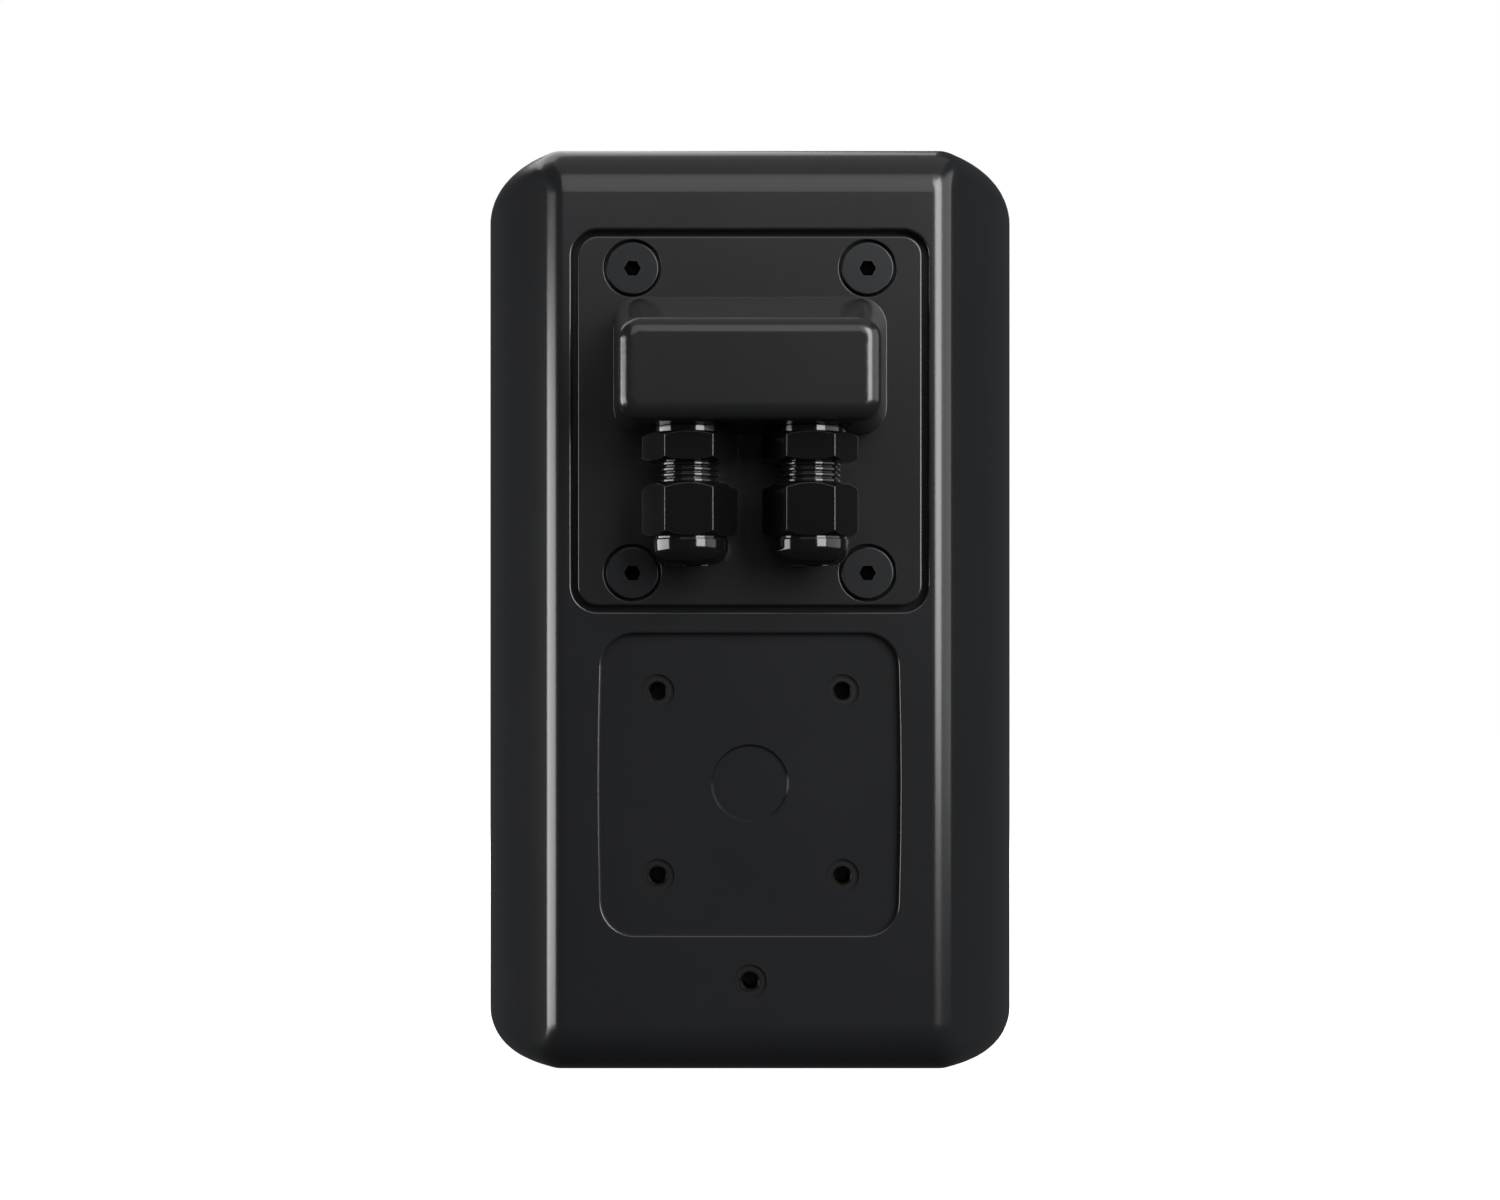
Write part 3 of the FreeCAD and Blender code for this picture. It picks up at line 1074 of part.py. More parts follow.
def make_tweeter():
    z = TWEETER_Z
    neck_back = TWEETER_NECK_BACK
    horn = [(TWEETER_THROAT, neck_back), (TWEETER_NECK_RADIUS, neck_back),
            (TWEETER_NECK_RADIUS, SEAT), (TWEETER_RADIUS, SEAT),
            (TWEETER_RADIUS, BAFFLE_FACE), (TWEETER_MOUTH, BAFFLE_FACE)]
    for step in range(1, HORN_STEPS + 1):
        angle = math.pi / 2 * step / HORN_STEPS
        radius = TWEETER_MOUTH - (TWEETER_MOUTH - TWEETER_THROAT) * math.sin(angle)
        depth = BAFFLE_FACE - (BAFFLE_FACE - neck_back - HORN_WALL) * (1 - math.cos(angle))
        horn.append((radius, depth))
    faceplate = turned(0, z, horn)
    for x, z_hole in tweeter_screw_places():
        faceplate = faceplate.cut(rod(x, z_hole, DRIVER_SCREW_RADIUS + SHANK_GAP, SEAT - CUT,
                                      BAFFLE_FACE + CUT))
        faceplate = faceplate.cut(rod(x, z_hole, DRIVER_HEAD_RADIUS + SHANK_GAP,
                                      BAFFLE_FACE - TWEETER_HEAD_SINK, BAFFLE_FACE + CUT))
    export("tweeter_faceplate", faceplate)
    gap = tube(0, z, DOME_RADIUS - DOME_COIL_GAP - DOME_THICKNESS, DOME_RADIUS + DOME_COIL_GAP,
               neck_back - DOME_COIL_LENGTH - DOME_COIL_GAP * 2, neck_back + CUT)
    plate = rod(0, z, TWEETER_PLATE_RADIUS, TWEETER_PLATE_BACK, neck_back)
    export("tweeter_front_plate", plate.cut(gap))
    magnet = rod(0, z, TWEETER_MAGNET_RADIUS, TWEETER_MAGNET_BACK, TWEETER_PLATE_BACK)
    export("tweeter_magnet", magnet.cut(gap))
    base = neck_back + DOME_STANDOFF
    cap = dome(0, z, DOME_RADIUS, DOME_RISE, DOME_THICKNESS, base)
    coil = tube(0, z, DOME_RADIUS - DOME_THICKNESS, DOME_RADIUS, base - DOME_COIL_LENGTH,
                base + DOME_THICKNESS)
    export("tweeter_dome", cap.fuse(coil).removeSplitter())
    export("tweeter_screws", *[
        screw(x, z_hole, DRIVER_HEAD_RADIUS, BAFFLE_FACE - TWEETER_HEAD_SINK,
              BAFFLE_FACE - TWEETER_HEAD_SINK + DRIVER_HEAD_THICKNESS,
              DRIVER_SCREW_RADIUS, BAFFLE_FACE - DRIVER_SCREW_LENGTH, DRIVER_SOCKET_FLATS)
        for x, z_hole in tweeter_screw_places()])


# Crossover board, transformer and their leads

def make_electrics():
    board = slab(0, BOARD_RISE, BOARD_WIDTH, BOARD_HEIGHT, BOARD_CORNER, BOARD_BACK, BOARD_FACE)
    for x, z in board_screw_places():
        board = board.cut(rod(x, z, DRIVER_SCREW_RADIUS + SHANK_GAP, BOARD_BACK - CUT,
                              BOARD_FACE + CUT))
    export("crossover_board", board)
    export("board_screws", *[
        screw(x, z, DRIVER_HEAD_RADIUS, BOARD_FACE, BOARD_FACE + DRIVER_HEAD_THICKNESS,
              DRIVER_SCREW_RADIUS, BOARD_FACE - DRIVER_SCREW_LENGTH, DRIVER_SOCKET_FLATS)
        for x, z in board_screw_places()])

    x = -BOARD_WIDTH / 2 + CORE_WIDTH / 2 + CORE_INSET
    z = BOARD_RISE + CORE_RISE
    core_near = BOARD_FACE + CORE_STANDOFF
    core_far = core_near + CORE_STACK
    window_height = CORE_HEIGHT - LEG_WIDTH
    core = slab(x, z, CORE_WIDTH, CORE_HEIGHT, 0, core_near, core_far)
    for side in (-1, 1):
        window_x = x + side * (LEG_WIDTH + CORE_WINDOW) / 2
        core = core.cut(slab(window_x, z, CORE_WINDOW, window_height, 0, core_near - CUT,
                             core_far + CUT))
    export("transformer_core", core)
    winding_width = LEG_WIDTH + 2 * (CORE_WINDOW - WINDING_GAP)
    winding_height = window_height - 2 * WINDING_GAP
    winding = slab(x, z, winding_width, winding_height, WINDING_CORNER, BOARD_FACE,
                   core_far + CORE_WINDOW)
    leg = slab(x, z, LEG_WIDTH + 2 * WINDING_GAP, CORE_HEIGHT, 0, core_near - WINDING_GAP,
               core_far + WINDING_GAP)
    export("transformer_winding", winding.cut(leg))

    right = BOARD_WIDTH / 2 - INDUCTOR_RADIUS - INDUCTOR_INSET
    export("crossover_inductor", tube(right, BOARD_RISE + INDUCTOR_RISE, INDUCTOR_BORE,
                                      INDUCTOR_RADIUS, BOARD_FACE, BOARD_FACE + INDUCTOR_LENGTH))
    capacitors = []
    for radius, length, drop in CAPACITORS:
        start = Vector(right - length / 2, REAR_Y - BOARD_FACE - radius, BOARD_RISE - drop)
        can = Part.makeCylinder(radius, length, start, Vector(1, 0, 0))
        capacitors.append(can.makeFillet(CAPACITOR_ROUND, can.Edges[:1] + can.Edges[2:]))
    export("crossover_capacitors", *capacitors)
    resistor_near = BOARD_FACE + RESISTOR_STANDOFF
    export("crossover_resistor", slab(x + RESISTOR_SHIFT, BOARD_RISE - RESISTOR_DROP,
                                      RESISTOR_LENGTH, RESISTOR_SIZE, RESISTOR_ROUND,
                                      resistor_near, resistor_near + RESISTOR_SIZE))


def lead(points):
    """A round lead along a smooth curve through points given as (x, depth, z)."""
    places = [place(*point) for point in points]
    curve = Part.BSplineCurve()
    curve.interpolate(places)
    path = Part.Wire(curve.toShape())
    start = curve.tangent(curve.FirstParameter)[0]
    ring = Part.Wire(Part.makeCircle(LEAD_RADIUS, places[0], start))
    return path.makePipeShell([ring], True, True)


def make_leads():
    """Each lead leaves one surface square to it, bends across, and is trimmed flush at both ends."""
    board = slab(0, BOARD_RISE, BOARD_WIDTH, BOARD_HEIGHT, 0, BOARD_BACK, BOARD_FACE)
    cup = slab(0, COVER_Z, CUP_WIDTH, CUP_HEIGHT, 0, CUP_SEAT, CUP_FLOOR)
    magnet = rod(0, TWEETER_Z, TWEETER_MAGNET_RADIUS, TWEETER_MAGNET_BACK, TWEETER_PLATE_BACK)
    board_top = BOARD_RISE + BOARD_HEIGHT / 2
    cup_bottom = COVER_Z - CUP_HEIGHT / 2
    off_board = BOARD_FACE + LEAD_RISE
    off_cup = CUP_FLOOR + LEAD_RISE

    supply = []
    for cup_x, board_x in ((-18, -32), (-10, -24)):
        path = [(cup_x, CUP_FLOOR, COVER_Z - 14), (cup_x - 2, off_cup, COVER_Z - 17),
                (board_x, off_cup, cup_bottom - 6),
                (board_x - 2, off_board + LEAD_RISE, board_top - 1),
                (board_x, BOARD_FACE, board_top - 8)]
        supply.append(lead(path).cut([board, cup]))
    export("supply_leads", *supply)

    woofer = []
    for tab_x, shift in zip(tab_places(), (0, -6)):
        tab_end = TERMINAL_BACK - TAB_LENGTH
        path = [(tab_x - 2, BOARD_FACE, BOARD_RISE + shift),
                (tab_x + 1, off_board + 6, BOARD_RISE + shift),
                (tab_x + 6, POLE_PLATE_BACK, WOOFER_RISE + shift / 2),
                (tab_x + 3, tab_end - 6, WOOFER_RISE + shift / 6), (tab_x, tab_end, WOOFER_RISE)]
        woofer.append(lead(path).cut([board] + solder_tabs()))
    export("woofer_leads", *woofer)

    tweeter = []
    for board_x, magnet_x in ((4, 12), (9, 17)):
        path = [(board_x, BOARD_FACE, board_top - 4), (board_x + 2, off_board + 2, board_top),
                (board_x + 12, POLE_PLATE_BACK - 3, board_top + 14),
                (magnet_x + 7, TWEETER_MAGNET_BACK - 16, TWEETER_Z - 27),
                (magnet_x, TWEETER_MAGNET_BACK, TWEETER_Z - 7)]
        tweeter.append(lead(path).cut([board, magnet]))
    export("tweeter_leads", *tweeter)


# Terminal cup, block and tap selector

def cup_flange(grow, near, far):
    """The cup's flange, with a tab above and below for its screws."""
    width = CUP_WIDTH + 2 * (CUP_FLANGE_WIDTH + grow)
    height = CUP_HEIGHT + 2 * (CUP_FLANGE_WIDTH + grow - CUP_FLANGE_TRIM)
    tab_height = CUP_HEIGHT + 2 * (CUP_TAB_LENGTH + grow)
    corner = CUP_FLANGE_CORNER + grow
    return [slab(0, COVER_Z, width, height, corner, near, far),
            slab(0, COVER_Z, CUP_TAB_WIDTH + 2 * grow, tab_height, corner, near, far)]


def make_terminals():
    flange_back = CUP_SEAT - CUP_FLANGE_THICKNESS
    outside = CUP_FLOOR
    cup = slab(0, COVER_Z, CUP_WIDTH, CUP_HEIGHT, CUP_CORNER, flange_back, outside)
    cup = cup.fuse(cup_flange(0.0, flange_back, CUP_SEAT))
    cup = cup.cut(slab(0, COVER_Z, CUP_WIDTH - 2 * CUP_WALL, CUP_HEIGHT - 2 * CUP_WALL,
                       CUP_CORNER - CUP_WALL, flange_back - CUT, outside - CUP_WALL))
    switch_z = COVER_Z + SWITCH_RISE
    cup = cup.cut(rod(0, switch_z, KNOB_SHAFT_RADIUS + SHAFT_HOLE_GAP, flange_back, outside + CUT))
    screws = []
    for x, z in cup_screw_places():
        head_face = flange_back + SMALL_HEAD_THICKNESS
        cup = cup.cut(rod(x, z, SMALL_HEAD_RADIUS, flange_back - CUT, head_face))
        cup = cup.cut(rod(x, z, SMALL_SHANK_RADIUS, flange_back, CUP_SEAT + CUT))
        head = rod(x, z, SMALL_HEAD_RADIUS, flange_back, head_face)
        head = head.cut(hexagon_rod(x, z, SMALL_SOCKET_FLATS, flange_back - CUT,
                                    flange_back + SMALL_SOCKET_DEPTH))
        screws.append(head.fuse(rod(x, z, SMALL_SHANK_RADIUS, head_face,
                                    POCKET_DEPTH + SMALL_SCREW_LENGTH)))
    export("terminal_cup", cup.removeSplitter())
    export("cup_screws", *screws)

    floor = outside - CUP_WALL
    block_z = COVER_Z - BLOCK_DROP
    face = floor - BLOCK_DEPTH
    width = BLOCK_WAYS * BLOCK_PITCH + 2 * BLOCK_END
    block = slab(0, block_z, width, BLOCK_HEIGHT, BLOCK_CORNER, face, floor)
    entry_y = REAR_Y - floor + WIRE_ENTRY_RISE
    clamp_z = block_z - CLAMP_DROP
    clamp_end = floor - CLAMP_END
    clamp_face = face + CLAMP_SINK
    clamps = []
    for way in range(BLOCK_WAYS):
        x = (way - (BLOCK_WAYS - 1) / 2) * BLOCK_PITCH
        block = block.cut(post(x, entry_y, WIRE_ENTRY_RADIUS, block_z - BLOCK_HEIGHT,
                               block_z + WIRE_ENTRY_END))
        block = block.cut(rod(x, clamp_z, CLAMP_SCREW_RADIUS, face - CUT, clamp_end))
        head = rod(x, clamp_z, CLAMP_SCREW_RADIUS, clamp_face, clamp_end)
        slot = slab(x, clamp_z, 2 * CLAMP_SCREW_RADIUS, CLAMP_SLOT_WIDTH, 0, clamp_face - CUT,
                    clamp_face + CLAMP_SLOT_DEPTH)
        clamps.append(head.cut(slot))
    for way in range(1, BLOCK_WAYS):
        x = (way - BLOCK_WAYS / 2) * BLOCK_PITCH
        block = block.cut(slab(x, block_z, BLOCK_GROOVE_WIDTH, BLOCK_HEIGHT + CUT, 0, face - CUT,
                               face + BLOCK_GROOVE_DEPTH))
    export("terminal_block", block.removeSplitter())
    export("terminal_screws", *clamps)

    switch = slab(0, switch_z, SWITCH_SIZE, SWITCH_SIZE, SWITCH_CORNER, outside,
                  outside + SWITCH_DEPTH)
    switch = switch.cut(rod(0, switch_z, KNOB_SHAFT_RADIUS + RUNNING_GAP, floor,
                            floor + KNOB_SHAFT_LENGTH + CUT))
    export("tap_switch", switch)
    skirt_far = floor - KNOB_GAP
    knob_back = skirt_far - KNOB_LENGTH
    knob = rod(0, switch_z, KNOB_RADIUS, skirt_far - KNOB_SKIRT, skirt_far)
    knob = knob.makeFillet(KNOB_ROUND, [outer_edge(knob, skirt_far - KNOB_SKIRT)])
    grip = rod(0, switch_z, KNOB_GRIP_RADIUS, knob_back, skirt_far - KNOB_SKIRT)
    grip = grip.makeFillet(GRIP_ROUND, [outer_edge(grip, knob_back)])
    for x, z in round_pattern(KNOB_FLUTES, KNOB_GRIP_RADIUS + FLUTE_OUT, switch_z,
                              180 / KNOB_FLUTES):
        grip = grip.cut(rod(x, z, FLUTE_RADIUS, knob_back - CUT, skirt_far - KNOB_SKIRT))
    pointer = slab(0, switch_z + POINTER_LENGTH / 2, POINTER_WIDTH, POINTER_LENGTH, 0,
                   knob_back - POINTER_OUT, skirt_far - KNOB_SKIRT)
    shaft = rod(0, switch_z, KNOB_SHAFT_RADIUS, skirt_far - KNOB_SKIRT, floor + KNOB_SHAFT_LENGTH)
    export("tap_knob", knob.fuse([grip, pointer, shaft]).removeSplitter())


def make_wadding():
    width = 2 * (half_width(WALL, WADDING_BACK) - WADDING_SIDE_GAP)
    top = HEIGHT - WALL - WADDING_GAP
    near = WADDING_BACK
    far = SHELL_DEPTH - WADDING_FRONT
    pad = Part.makeBox(width, far - near, WADDING_THICKNESS,
                       place(-width / 2, far, top - WADDING_THICKNESS))
    export("damping_wadding", pad.makeFillet(WADDING_ROUND, pad.Edges))


make_rear_cabinet()
make_inserts()
make_terminal_cover()
make_cover_screws()
for gland_side, gland_x in gland_places():
    make_gland(gland_side, gland_x)
make_front()
make_ports()
make_woofer_frame()
make_woofer_motor()
make_woofer_moving()
make_tweeter()
make_electrics()
make_leads()
make_terminals()
make_wadding()
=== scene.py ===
# %% [markdown]
# # A small weatherproof wall loudspeaker
# The shapes that fit and move come from a finished CAD model. This file dresses them. It loads the model
# as a fixed frame, gives every part its finish, and builds the pieces that a plain CAD solid is too simple
# for: the perforated grille, the cloth behind it and the padding inside. Each step says what the piece is
# on the real object, how it could be made, and why this way was chosen.

# %% Load the frame
import math

import bmesh
import bpy
import numpy as np
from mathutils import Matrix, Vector
from mathutils.geometry import delaunay_2d_cdt


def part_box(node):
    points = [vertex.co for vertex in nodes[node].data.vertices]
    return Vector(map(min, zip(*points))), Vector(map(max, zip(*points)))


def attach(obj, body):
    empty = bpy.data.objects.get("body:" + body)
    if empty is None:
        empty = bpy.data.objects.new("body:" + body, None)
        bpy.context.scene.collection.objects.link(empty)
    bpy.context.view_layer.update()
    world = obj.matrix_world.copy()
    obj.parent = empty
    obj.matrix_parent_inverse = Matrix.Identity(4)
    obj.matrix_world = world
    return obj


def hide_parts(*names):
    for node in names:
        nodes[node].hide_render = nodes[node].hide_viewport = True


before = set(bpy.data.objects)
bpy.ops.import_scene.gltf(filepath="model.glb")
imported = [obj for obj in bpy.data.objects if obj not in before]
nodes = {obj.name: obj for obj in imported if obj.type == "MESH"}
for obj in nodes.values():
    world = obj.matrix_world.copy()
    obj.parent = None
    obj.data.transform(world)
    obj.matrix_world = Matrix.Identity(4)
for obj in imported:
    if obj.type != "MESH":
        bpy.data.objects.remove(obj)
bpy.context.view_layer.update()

MM = 0.001

# %% [markdown]
# ## The camera
# The loudspeaker is seen squarely from behind, a little below its middle. A level camera with a small
# upward shift keeps its upright edges parallel, as a product photographer's shift lens does. Tilting the
# camera instead would make the edges lean together.

# %% Camera
back_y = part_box("rear_cabinet")[1].y
EYE_HEIGHT = 97.5 * MM
CAMERA_DISTANCE = 900 * MM

camera_data = bpy.data.cameras.new("camera")
camera_data.lens = 80
camera_data.sensor_width = 36
camera_data.shift_y = 0.0747
camera = bpy.data.objects.new("camera", camera_data)
camera.location = (0, back_y + CAMERA_DISTANCE, EYE_HEIGHT)
camera.rotation_euler = (math.radians(90), 0, math.radians(180))
bpy.context.scene.collection.objects.link(camera)
bpy.context.scene.camera = camera
print("camera at", tuple(round(v, 3) for v in camera.location))

# %% [markdown]
# ## Light
# Dark satin plastic shows its shape almost only by what it reflects. Tall soft boxes at the sides draw a
# long line down each rounded upright edge, and a soft panel above the camera fades down the flat back. A
# weak light overhead and one from the front keep the top and the front readable. The room's own light
# stays low, so the flat faces keep their depth. The world is white to the camera and dim to the rest. One
# wash lights the grille from the front without a reflection, so that it leaves the dark sides dark.

# %% World
ROOM_TINT = (0.93, 0.96, 1.0, 1)
ROOM_STRENGTH = 0.05

world = bpy.data.worlds.new("studio")
bpy.context.scene.world = world
world.use_nodes = True
sky = world.node_tree
sky.nodes.clear()
ray = sky.nodes.new("ShaderNodeLightPath")
seen = sky.nodes.new("ShaderNodeBackground")
seen.inputs["Color"].default_value = (1, 1, 1, 1)
room = sky.nodes.new("ShaderNodeBackground")
room.inputs["Color"].default_value = ROOM_TINT
room.inputs["Strength"].default_value = ROOM_STRENGTH
either = sky.nodes.new("ShaderNodeMixShader")
out = sky.nodes.new("ShaderNodeOutputWorld")
sky.links.new(ray.outputs["Is Camera Ray"], either.inputs["Fac"])
sky.links.new(room.outputs["Background"], either.inputs[1])
sky.links.new(seen.outputs["Background"], either.inputs[2])
sky.links.new(either.outputs["Shader"], out.inputs["Surface"])
bpy.context.scene.view_settings.view_transform = "Standard"

# %% Soft boxes
TARGET = Vector((0, back_y, 125 * MM))


def soft_box(name, azimuth, elevation, distance, width, height, radiance):
    """A flat light that faces the loudspeaker's back. Azimuth turns from the camera's side towards +X.

    Its power in watts is radiance times area times pi, so it looks as bright when its size changes."""
    data = bpy.data.lights.new(name, "AREA")
    data.shape = "RECTANGLE"
    data.size = width
    data.size_y = height
    data.energy = radiance * width * height * math.pi
    a = math.radians(azimuth)
    e = math.radians(elevation)
    way = Vector((math.sin(a) * math.cos(e), math.cos(a) * math.cos(e), math.sin(e)))
    light = bpy.data.objects.new(name, data)
    light.location = TARGET + way * distance
    light.rotation_euler = (-way).to_track_quat("-Z", "Y").to_euler()
    bpy.context.scene.collection.objects.link(light)
    return light


soft_box("left_box", 88, -1, 1.4, 1.25, 0.54, 7.2)
soft_box("right_strip", -34, 19, 1.5, 0.74, 1.15, 10.5)
soft_box("right_box", -76, 16, 1.5, 1.45, 1.10, 1.8)
soft_box("overhead_panel", 0, 35, 1.7, 1.8, 1.25, 1.55)
soft_box("top_box", 0, 88, 1.3, 1.8, 1.25, 0.35)
soft_box("front_fill", 152, 44, 2.0, 1.8, 1.4, 1.5)
front_wash = soft_box("front_wash", 180, 28, 1.6, 1.6, 1.2, 6.0)
front_wash.visible_glossy = False

# %% Floor
FLOOR = 12.0
floor_mesh = bpy.data.meshes.new("floor")
floor_mesh.from_pydata(
    [(-FLOOR, -FLOOR, 0), (FLOOR, -FLOOR, 0), (FLOOR, FLOOR, 0), (-FLOOR, FLOOR, 0)], [], [(0, 1, 2, 3)])
floor = bpy.data.objects.new("floor", floor_mesh)
bpy.context.scene.collection.objects.link(floor)
floor.visible_glossy = False
floor.visible_diffuse = False
floor.visible_shadow = False
paper = bpy.data.materials.new("floor_paper")
paper.use_nodes = True
paper_shader = paper.node_tree.nodes["Principled BSDF"]
paper_shader.inputs["Base Color"].default_value = (0.4, 0.4, 0.4, 1)
paper_shader.inputs["Roughness"].default_value = 0.9
paper_shader.inputs["Emission Color"].default_value = (1, 1, 1, 1)
paper_shader.inputs["Emission Strength"].default_value = 1.0
floor_mesh.materials.append(paper)

# %% [markdown]
# ## Shared effects
# Several finishes show the same small things: the fine grain of a spark-eroded mould, edges rubbed
# lighter, a trace of dust, threads that cross, turns of wire. Each is a node group with its own inputs,
# built once and placed in every material that needs it. A group gives out masks and heights. The shader
# stays in the material.

# %% Group helpers


def new_group(name, inputs, outputs):
    """A shader node group with float inputs (name, default) and float outputs."""
    group = bpy.data.node_groups.new(name, "ShaderNodeTree")
    for label, value in inputs:
        socket = group.interface.new_socket(label, in_out="INPUT", socket_type="NodeSocketFloat")
        socket.default_value = value
    for label in outputs:
        group.interface.new_socket(label, in_out="OUTPUT", socket_type="NodeSocketFloat")
    return group, group.nodes.new("NodeGroupInput"), group.nodes.new("NodeGroupOutput")


def maths(tree, operation, first, second=None, third=None, clamp=False):
    """A Math node fed with numbers or sockets. Gives its output socket."""
    node = tree.nodes.new("ShaderNodeMath")
    node.operation = operation
    node.use_clamp = clamp
    for index, value in enumerate((first, second, third)):
        if isinstance(value, (int, float)):
            node.inputs[index].default_value = value
        elif value is not None:
            tree.links.new(value, node.inputs[index])
    return node.outputs[0]


def place_in_space(tree, stretch=None):
    """The piece's own coordinates in metres, stretched along each axis if asked."""
    where = tree.nodes.new("ShaderNodeTexCoord").outputs["Object"]
    if stretch is None:
        return where
    node = tree.nodes.new("ShaderNodeVectorMath")
    node.operation = "MULTIPLY"
    node.inputs[1].default_value = stretch
    tree.links.new(where, node.inputs[0])
    return node.outputs[0]


def axes(tree, where):
    """The three coordinates as separate sockets."""
    split = tree.nodes.new("ShaderNodeSeparateXYZ")
    tree.links.new(where, split.inputs["Vector"])
    return split.outputs


def noise(tree, where, scale, detail=2.0, roughness=0.5):
    """A noise texture read at some coordinates. Gives its value from 0 to 1."""
    node = tree.nodes.new("ShaderNodeTexNoise")
    node.inputs["Detail"].default_value = detail
    node.inputs["Roughness"].default_value = roughness
    if isinstance(scale, (int, float)):
        node.inputs["Scale"].default_value = scale
    else:
        tree.links.new(scale, node.inputs["Scale"])
    tree.links.new(where, node.inputs["Vector"])
    return node.outputs[0]


# %% Mould grain
PIT_SHARE = 0.6


def make_mould_grain():
    """Fine pits from a spark-eroded mould, and a slow mottle from how the plastic flowed."""
    group, enter, leave = new_group("mould_grain", [("Grain", 2600.0), ("Mottle Size", 28.0)],
                                    ["Height", "Mottle"])
    where = place_in_space(group)
    fine = noise(group, where, enter.outputs["Grain"], 3.0, 0.6)
    pits = group.nodes.new("ShaderNodeTexVoronoi")
    group.links.new(where, pits.inputs["Vector"])
    group.links.new(enter.outputs["Grain"], pits.inputs["Scale"])
    height = maths(group, "MULTIPLY_ADD", pits.outputs["Distance"], PIT_SHARE, fine)
    group.links.new(height, leave.inputs["Height"])
    group.links.new(noise(group, where, enter.outputs["Mottle Size"], 4.0, 0.55), leave.inputs["Mottle"])
    return group


mould_grain = make_mould_grain()


# %% Edge rub
RUB_GAIN = 6.0
PATCH_GAIN = 2.2
PATCH_OFFSET = -0.55


def make_edge_rub():
    """Where a surface turns sharply: one minus how well the smoothed normal agrees with the true one."""
    group, enter, leave = new_group("edge_rub", [("Radius", 0.0008), ("Breakup", 260.0)], ["Mask"])
    smoothed = group.nodes.new("ShaderNodeBevel")
    smoothed.samples = 4
    group.links.new(enter.outputs["Radius"], smoothed.inputs["Radius"])
    facts = group.nodes.new("ShaderNodeNewGeometry")
    agree = group.nodes.new("ShaderNodeVectorMath")
    agree.operation = "DOT_PRODUCT"
    group.links.new(smoothed.outputs["Normal"], agree.inputs[0])
    group.links.new(facts.outputs["Normal"], agree.inputs[1])
    turn = maths(group, "SUBTRACT", 1.0, agree.outputs["Value"])
    edge = maths(group, "MULTIPLY", turn, RUB_GAIN, clamp=True)
    patches = noise(group, place_in_space(group), enter.outputs["Breakup"], 5.0, 0.65)
    worn = maths(group, "MULTIPLY_ADD", patches, PATCH_GAIN, PATCH_OFFSET, clamp=True)
    group.links.new(maths(group, "MULTIPLY", edge, worn), leave.inputs["Mask"])
    return group


edge_rub = make_edge_rub()


# %% Dust
SPECK_SCALE = 420.0
FILM_GAIN = 1.6
FILM_OFFSET = -0.4
UPWARD_POWER = 3.0


def make_dust():
    """A thin film on what faces up, broken by noise."""
    group, enter, leave = new_group("dust", [("Amount", 0.1)], ["Mask"])
    facts = group.nodes.new("ShaderNodeNewGeometry")
    upward = maths(group, "MAXIMUM", axes(group, facts.outputs["Normal"])["Z"], 0.0)
    specks = noise(group, place_in_space(group), SPECK_SCALE, 6.0, 0.7)
    film = maths(group, "MULTIPLY_ADD", specks, FILM_GAIN, FILM_OFFSET, clamp=True)
    mask = maths(group, "MULTIPLY", maths(group, "POWER", upward, UPWARD_POWER), film)
    group.links.new(maths(group, "MULTIPLY", mask, enter.outputs["Amount"]), leave.inputs["Mask"])
    return group


dust = make_dust()


# %% Depth
def make_depth():
    """How far a point lies under a level along Y, from 0 at the level to 1 at the fall below it."""
    group, enter, leave = new_group("depth", [("Level", 0.0), ("Fall", 0.001)], ["Mask"])
    where = axes(group, place_in_space(group))
    under = maths(group, "SUBTRACT", enter.outputs["Level"], where["Y"])
    group.links.new(maths(group, "DIVIDE", under, enter.outputs["Fall"], clamp=True), leave.inputs["Mask"])
    return group


depth = make_depth()


# %% Crossing threads
def make_weave():
    """A plain weave across X and Z: sin(pi x) times sin(pi z) changes sign from one crossing to the next.

    Its size gives the round of each thread, and its sign tells which thread is on top."""
    group, enter, leave = new_group("weave", [("Threads", 900.0)], ["Height", "Over"])
    where = axes(group, place_in_space(group))
    waves = []
    for axis in ("X", "Z"):
        turns = maths(group, "MULTIPLY", where[axis], enter.outputs["Threads"])
        waves.append(maths(group, "SINE", maths(group, "MULTIPLY", turns, math.pi)))
    crossing = maths(group, "MULTIPLY", waves[0], waves[1])
    height = maths(group, "POWER", maths(group, "ABSOLUTE", crossing), 0.5)
    group.links.new(height, leave.inputs["Height"])
    group.links.new(maths(group, "GREATER_THAN", crossing, 0.0), leave.inputs["Over"])
    return group


weave = make_weave()


# %% Turns of wire, thread or sheet
def make_layers():
    """Layers stacked along one axis: a sine of the distance, rounded like wire laid side by side."""
    group, enter, leave = new_group("layers", [("Along X", 0.0), ("Along Y", 1.0), ("Along Z", 0.0),
                                               ("Pitch", 0.0005)], ["Height", "Layer"])
    where = axes(group, place_in_space(group))
    total = 0.0
    for axis in ("X", "Y", "Z"):
        total = maths(group, "MULTIPLY_ADD", where[axis], enter.outputs["Along " + axis], total)
    turns = maths(group, "DIVIDE", total, enter.outputs["Pitch"])
    height = maths(group, "ABSOLUTE", maths(group, "SINE", maths(group, "MULTIPLY", turns, math.pi)))
    group.links.new(height, leave.inputs["Height"])
    step = group.nodes.new("ShaderNodeTexWhiteNoise")
    step.noise_dimensions = "1D"
    group.links.new(maths(group, "FLOOR", turns), step.inputs["W"])
    group.links.new(step.outputs["Value"], leave.inputs["Layer"])
    return group


layers = make_layers()

# %% Material helpers


